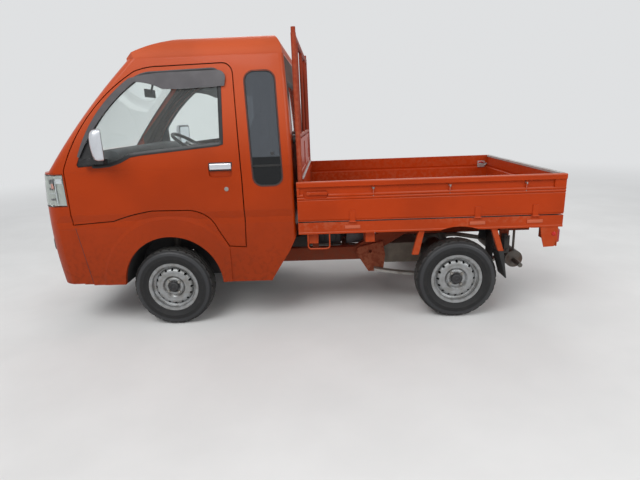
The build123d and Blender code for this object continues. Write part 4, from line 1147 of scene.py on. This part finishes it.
def make_seams():
    """Fine dark joints where the bumper meets the fenders."""
    skin = tree_of("front_bumper", "front_fenders", "front_panel", "cab_body")
    b = Builder()
    for s in SIDES:
        row = []
        for i in range(25):
            t = i / 24
            x = SEAM_TOP[0] + (SEAM_FOOT[0] - SEAM_TOP[0]) * t
            z = SEAM_TOP[1] + (SEAM_FOOT[1] - SEAM_TOP[1]) * t
            hit = touch(skin, x, s * OUTSIDE, z, (0, -s, 0))[0]
            if hit is not None:
                row.append(hit + Vector((0, s * 0.0006, 0)))
        offsets = ((-0.0016, 0), (0.0, s * 0.0004), (0.0016, 0))
        b.grid([[p + Vector((along, out, 0)) for p in row] for along, out in offsets])
    b.done("bumper_seams", "black_trim", angle=60)


SEAT_SHRINK = 0.009
SEAT_VOXEL = 0.010
SEAT_CAP = 0.024
SEAM_PLACE = 0.28  # of the seat's width, from its middle
SEAM_HALF = 0.012
SEAM_DEPTH = 0.006


def swell(piece):
    """Inflates a cushion by cloth simulation and keeps each point within the cap."""
    scene = bpy.context.scene
    start = [v.co.copy() for v in piece.data.vertices]
    cloth = piece.modifiers.new("cloth", "CLOTH")
    cloth.settings.use_pressure = True
    cloth.settings.uniform_pressure_force = 4.0
    cloth.settings.effector_weights.gravity = 0.0
    cloth.settings.quality = 4
    for number in range(1, 21):
        scene.frame_set(number)
    graph = bpy.context.evaluated_depsgraph_get()
    swollen = bpy.data.meshes.new_from_object(piece.evaluated_get(graph))
    moved = [v.co.copy() for v in swollen.vertices]
    piece.modifiers.remove(cloth)
    bpy.data.meshes.remove(swollen)
    for v, a, b in zip(piece.data.vertices, start, moved):
        step = b - a
        if step.length > SEAT_CAP:
            step *= SEAT_CAP / step.length
        v.co = a + step
    scene.frame_set(1)


def make_seat_part(node, s):
    """One cushion or back: the CAD form drawn in, remeshed, swollen and given its seams."""
    bm = bmesh.new()
    bm.from_mesh(NODES[node].data)
    drop = [v for v in bm.verts if v.co.y * s < 0]
    bmesh.ops.delete(bm, geom=drop, context="VERTS")
    bmesh.ops.remove_doubles(bm, verts=bm.verts, dist=1e-5)
    low = Vector([min(v.co[i] for v in bm.verts) for i in range(3)])
    high = Vector([max(v.co[i] for v in bm.verts) for i in range(3)])
    middle = (low + high) / 2
    size = high - low
    for v in bm.verts:
        for i in range(3):
            v.co[i] = middle[i] + (v.co[i] - middle[i]) * (1 - 2 * SEAT_SHRINK / size[i])
    mesh = bpy.data.meshes.new(node)
    bm.to_mesh(mesh)
    bm.free()
    piece = add_object("soft_" + node + "_" + side_name(s), mesh)
    remesh = piece.modifiers.new("remesh", "REMESH")
    remesh.mode = "VOXEL"
    remesh.voxel_size = SEAT_VOXEL
    graph = bpy.context.evaluated_depsgraph_get()
    piece.data = bpy.data.meshes.new_from_object(piece.evaluated_get(graph))
    piece.modifiers.clear()
    swell(piece)
    for v in piece.data.vertices:
        across = abs(abs(v.co.y - middle.y) - size.y * SEAM_PLACE)
        if across < SEAM_HALF:
            inward = SEAM_DEPTH * (1 - across / SEAM_HALF) ** 2
            v.co += (middle - v.co).normalized() * inward
    piece.data.shade_smooth()
    smooth = piece.modifiers.new("subdivide", "SUBSURF")
    smooth.levels = 1
    smooth.render_levels = 1
    piece.data.materials.clear()
    piece.data.materials.append(MATERIALS["seat_fabric"])
    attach(piece, "chassis")
    return piece


def make_seats():
    for node in ("seat_cushions", "seat_backs"):
        for piece in [make_seat_part(node, s) for s in SIDES]:
            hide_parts(node)


def make_cab_inside():
    """Interior mirror and sun visors."""
    b = Builder()
    b.box(at(-262, -105, 1530), at(-252, 105, 1590), 0.006, 3)
    b.tube([at(-252, 0, 1565), at(-236, 0, 1600), at(-228, 0, 1632)], 0.008, 10, 4)
    b.done("inner_mirror", "black_plastic")
    for s in SIDES:
        b.box(at(-214, s * 130, 1628), at(-70, s * 520, 1642), 0.006, 3)
    b.done("sun_visors", "trim_brown")


def make_quarter_latches():
    """The black knob on each quarter window."""
    panes = tree_of("quarter_windows")
    knob = [(-0.002, 0.0), (-0.002, 0.011), (0.003, 0.0105), (0.004, 0.007), (0.0032, 0.0)]
    for s in SIDES:
        place, normal = touch(panes, 727, s * OUTSIDE, 1136, (0, -s, 0))
        b = Builder()
        b.lathe(knob, place, normal, 24)
        b.done("quarter_latch_" + side_name(s), "black_plastic")


def make_shackles():
    """Spring shackle plates with their bolts."""
    b = Builder()
    for s in SIDES:
        b.box(at(2281, s * 430, 372), at(2319, s * 436, 500), 0.003, 2)
        b.box(at(2281, s * 480, 372), at(2319, s * 486, 500), 0.003, 2)
        for z in (393, 478):
            b.lathe([(0, 0.0), (0, 0.011), (0.007, 0.0105), (0.009, 0.0)], at(2300, s * 486, z), (0, s, 0), 6)
            b.lathe([(0.0, 0.008), (0.05, 0.008)], at(2300, s * 432, z), (0, s, 0), 16)
    b.done("shackle_plates", "cast_dark")


finish_nodes()
make_camera()
make_stage()
for wheel in WHEEL_STATIONS:
    make_tyre(wheel)
    make_wheel_fittings(wheel)
make_seals()
for side in SIDES:
    make_door_fittings(side)
    make_mirror(side)
    make_headlamp_inner(side)
    make_gate_fittings(side)
make_lamp_body()
make_wipers()
make_cowl()
make_bed_strips()
make_tail_fittings()
make_cab_inside()
make_shackles()
make_quarter_latches()
make_backing_plates()
make_hinge_covers()
make_under_bed()
make_corner_latches()
make_seams()
make_seats()
finish_scene()
